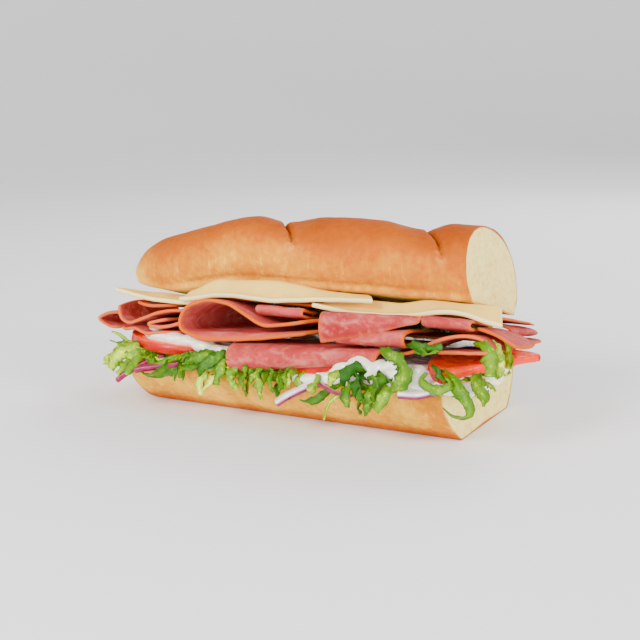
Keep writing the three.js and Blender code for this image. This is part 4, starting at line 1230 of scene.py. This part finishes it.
# The strewn shreds: four kinds, set in rows round the bed by Geometry Nodes.
STRAYS = [
    ([(-7, 0, 1), (-1, 0.6, 1.6), (3.6, 0, 0.4), (6, -0.4, -4)], (5, 8, 7, 3), 0.5, 1.1, 0.35),
    ([(-7, 0, 0.6), (0, -1, 2), (4.6, -0.6, 1), (6.6, 0.4, -2)], (4, 7, 7, 4), -0.5, 1.0, 0.5),
    ([(-7, 0, 0.4), (-1, 1.4, 1), (3, 1, -1), (4.4, 0, -6)], (4, 6, 6, 2.6), 0.8, 0.9, 0.65),
    ([(-7, 0, 0.8), (0, 0.4, 1.2), (4.2, -1.2, 0.6), (6.4, -2.6, 1.6)], (3, 5, 4, 2), -0.8, 0.7, 0.2),
]
BED_RIM = [
    (-62, -26), (-66, -14), (-67, 2), (-65, 18), (-58, 30), (-44, 37.5), (-24, 40), (0, 40.6), (24, 40),
    (46, 38), (60, 33), (66, 22), (67.5, 6), (67.5, -10), (65, -24),
]
BACK_TOP = [(-36, 30), (-14, 31), (8, 31)]
FRONT_ROW = [(14, -38), (4, -39), (-10, -39), (-24, -38.6), (-38, -38), (-52, -36.4)]
BACK_ROW = [(-53, 27), (-40, 30.5), (-20, 31.5), (0, 31.5), (20, 31), (40, 30.5), (57, 28)]
# Each row: its line in plan, its height in the filling, how many shreds it has, and its seed.
ROWS = [
    (BED_RIM, 1.6, 46, 3), (BED_RIM, 2.6, 40, 8), (BACK_ROW, 17.0, 34, 12), (BACK_ROW, 24.0, 40, 21),
    (BACK_ROW, 28.5, 34, 17), (FRONT_ROW, 1.2, 24, 30), (BACK_TOP, 33.0, 16, 41),
]
LEAST_TUMBLE = (-0.35, -0.25, -0.5)
MOST_TUMBLE = (0.35, 0.15, 0.5)
LINE_POINTS = 80


def strewing_tree():
    """Geometry Nodes that set a random shred at even steps along a line, turned outwards."""
    tree = bpy.data.node_groups.new("strewn_shreds", "GeometryNodeTree")
    sockets = {}
    for label, kind in [
        ("Line", "Geometry"), ("Shreds", "Collection"), ("Count", "Int"), ("Smallest", "Float"),
        ("Largest", "Float"), ("Tumble", "Float"), ("Seed", "Int"), ("Finish", "Material"),
    ]:
        socket_type = "NodeSocket" + kind
        sockets[label] = tree.interface.new_socket(name=label, in_out="INPUT", socket_type=socket_type)
    tree.interface.new_socket(name="Geometry", in_out="OUTPUT", socket_type="NodeSocketGeometry")
    given = tree.nodes.new("NodeGroupInput").outputs

    def node(kind, settings, links, output=0):
        return new_node(tree, kind, settings, links)[output]

    def chance(data_type, kind, low, high):
        """A random value; kind counts the pairs of sockets that a node has for its types."""
        links = {2 * kind: low, 2 * kind + 1: high, "Seed": given["Seed"]}
        return node("FunctionNodeRandomValue", {"data_type": data_type}, links, kind)

    line = node("GeometryNodeMeshToCurve", {}, {"Mesh": given["Line"]})
    steps = node("GeometryNodeResampleCurve", {}, {"Curve": line, "Count": given["Count"]})
    along = node("GeometryNodeInputTangent", {}, {})
    outwards = node("ShaderNodeVectorMath", {"operation": "CROSS_PRODUCT"}, {0: (0.0, 0.0, 1.0), 1: along})
    facing = node("FunctionNodeAlignRotationToVector", {"axis": "X"}, {"Vector": outwards})
    shreds = node(
        "GeometryNodeCollectionInfo", {},
        {"Collection": given["Shreds"], "Separate Children": True, "Reset Children": True},
    )
    which = chance("INT", 2, 0, len(STRAYS) - 1)
    size = chance("FLOAT", 1, given["Smallest"], given["Largest"])
    tumble = chance("FLOAT_VECTOR", 0, LEAST_TUMBLE, MOST_TUMBLE)
    scaled = node("ShaderNodeVectorMath", {"operation": "SCALE"}, {0: tumble, "Scale": given["Tumble"]})
    turned = node("FunctionNodeEulerToRotation", {}, {0: scaled})
    final = node("FunctionNodeRotateRotation", {"rotation_space": "LOCAL"}, {0: facing, 1: turned})
    set_down = node("GeometryNodeInstanceOnPoints", {}, {
        "Points": steps, "Instance": shreds, "Pick Instance": True, "Instance Index": which,
        "Rotation": final, "Scale": size,
    })
    real = node("GeometryNodeRealizeInstances", {}, {0: set_down})
    coat = node("GeometryNodeSetMaterial", {}, {"Geometry": real, "Material": given["Finish"]})
    tree.links.new(coat, tree.nodes.new("NodeGroupOutput").inputs[0])
    return tree, sockets


def strewn(line, height, values):
    """One row of strewn shreds along a line at a height in the filling, as a body with its marks."""
    knots = curve_through(line)(np.linspace(0, 1, LINE_POINTS))
    level = HEEL_HEIGHT + height * filling_share(knots[:, 1])
    points = (np.column_stack([knots, level]) + SHIFT) * 0.001
    thread = bpy.data.meshes.new("thread")
    thread.from_pydata(points.tolist(), [(k, k + 1) for k in range(LINE_POINTS - 1)], [])
    holder = bpy.data.objects.new("thread", thread)
    bpy.context.scene.collection.objects.link(holder)
    tool = holder.modifiers.new("strew", "NODES")
    tool.node_group = strewing
    for label, value in values.items():
        tool[strewing_inputs[label].identifier] = value
    holder.update_tag()
    graph = bpy.context.evaluated_depsgraph_get()
    done = bpy.data.meshes.new_from_object(holder.evaluated_get(graph))
    bpy.data.objects.remove(holder)
    places = spots_of(done) * 1000 - SHIFT
    faces = [list(face.vertices) for face in done.polygons]
    marks = []
    for mark in ("dark", "lane"):
        found = np.empty(len(done.vertices), np.float32)
        done.attributes[mark].data.foreach_get("value", found)
        marks.append(found)
    bpy.data.meshes.remove(done)
    return places, faces, *marks


kinds = bpy.data.collections.new("shred_kinds")
bpy.context.scene.collection.children.link(kinds)
for seed, row in enumerate(STRAYS):
    loose, faces, marks = gathered([shred(*row, 2.3 * seed + 0.9, count=18, lanes=7)])
    kind = bpy.data.objects.new(f"kind_{seed}", plain_mesh(f"kind_{seed}", loose - SHIFT, faces, marks))
    kinds.objects.link(kind)
strewing, strewing_inputs = strewing_tree()
bodies = []
for line, height, count, seed in ROWS:
    values = {
        "Shreds": kinds, "Count": count, "Smallest": 0.75, "Largest": 1.15, "Tumble": 1.0, "Seed": seed,
        "Finish": lettuce.material,
    }
    bodies.append(strewn(line, height, values))
serve("lettuce_strewn", plain_mesh("lettuce_strewn", *gathered(bodies)), lettuce, "lettuce")
for kind in list(kinds.objects):
    bpy.data.objects.remove(kind)
bpy.data.collections.remove(kinds)
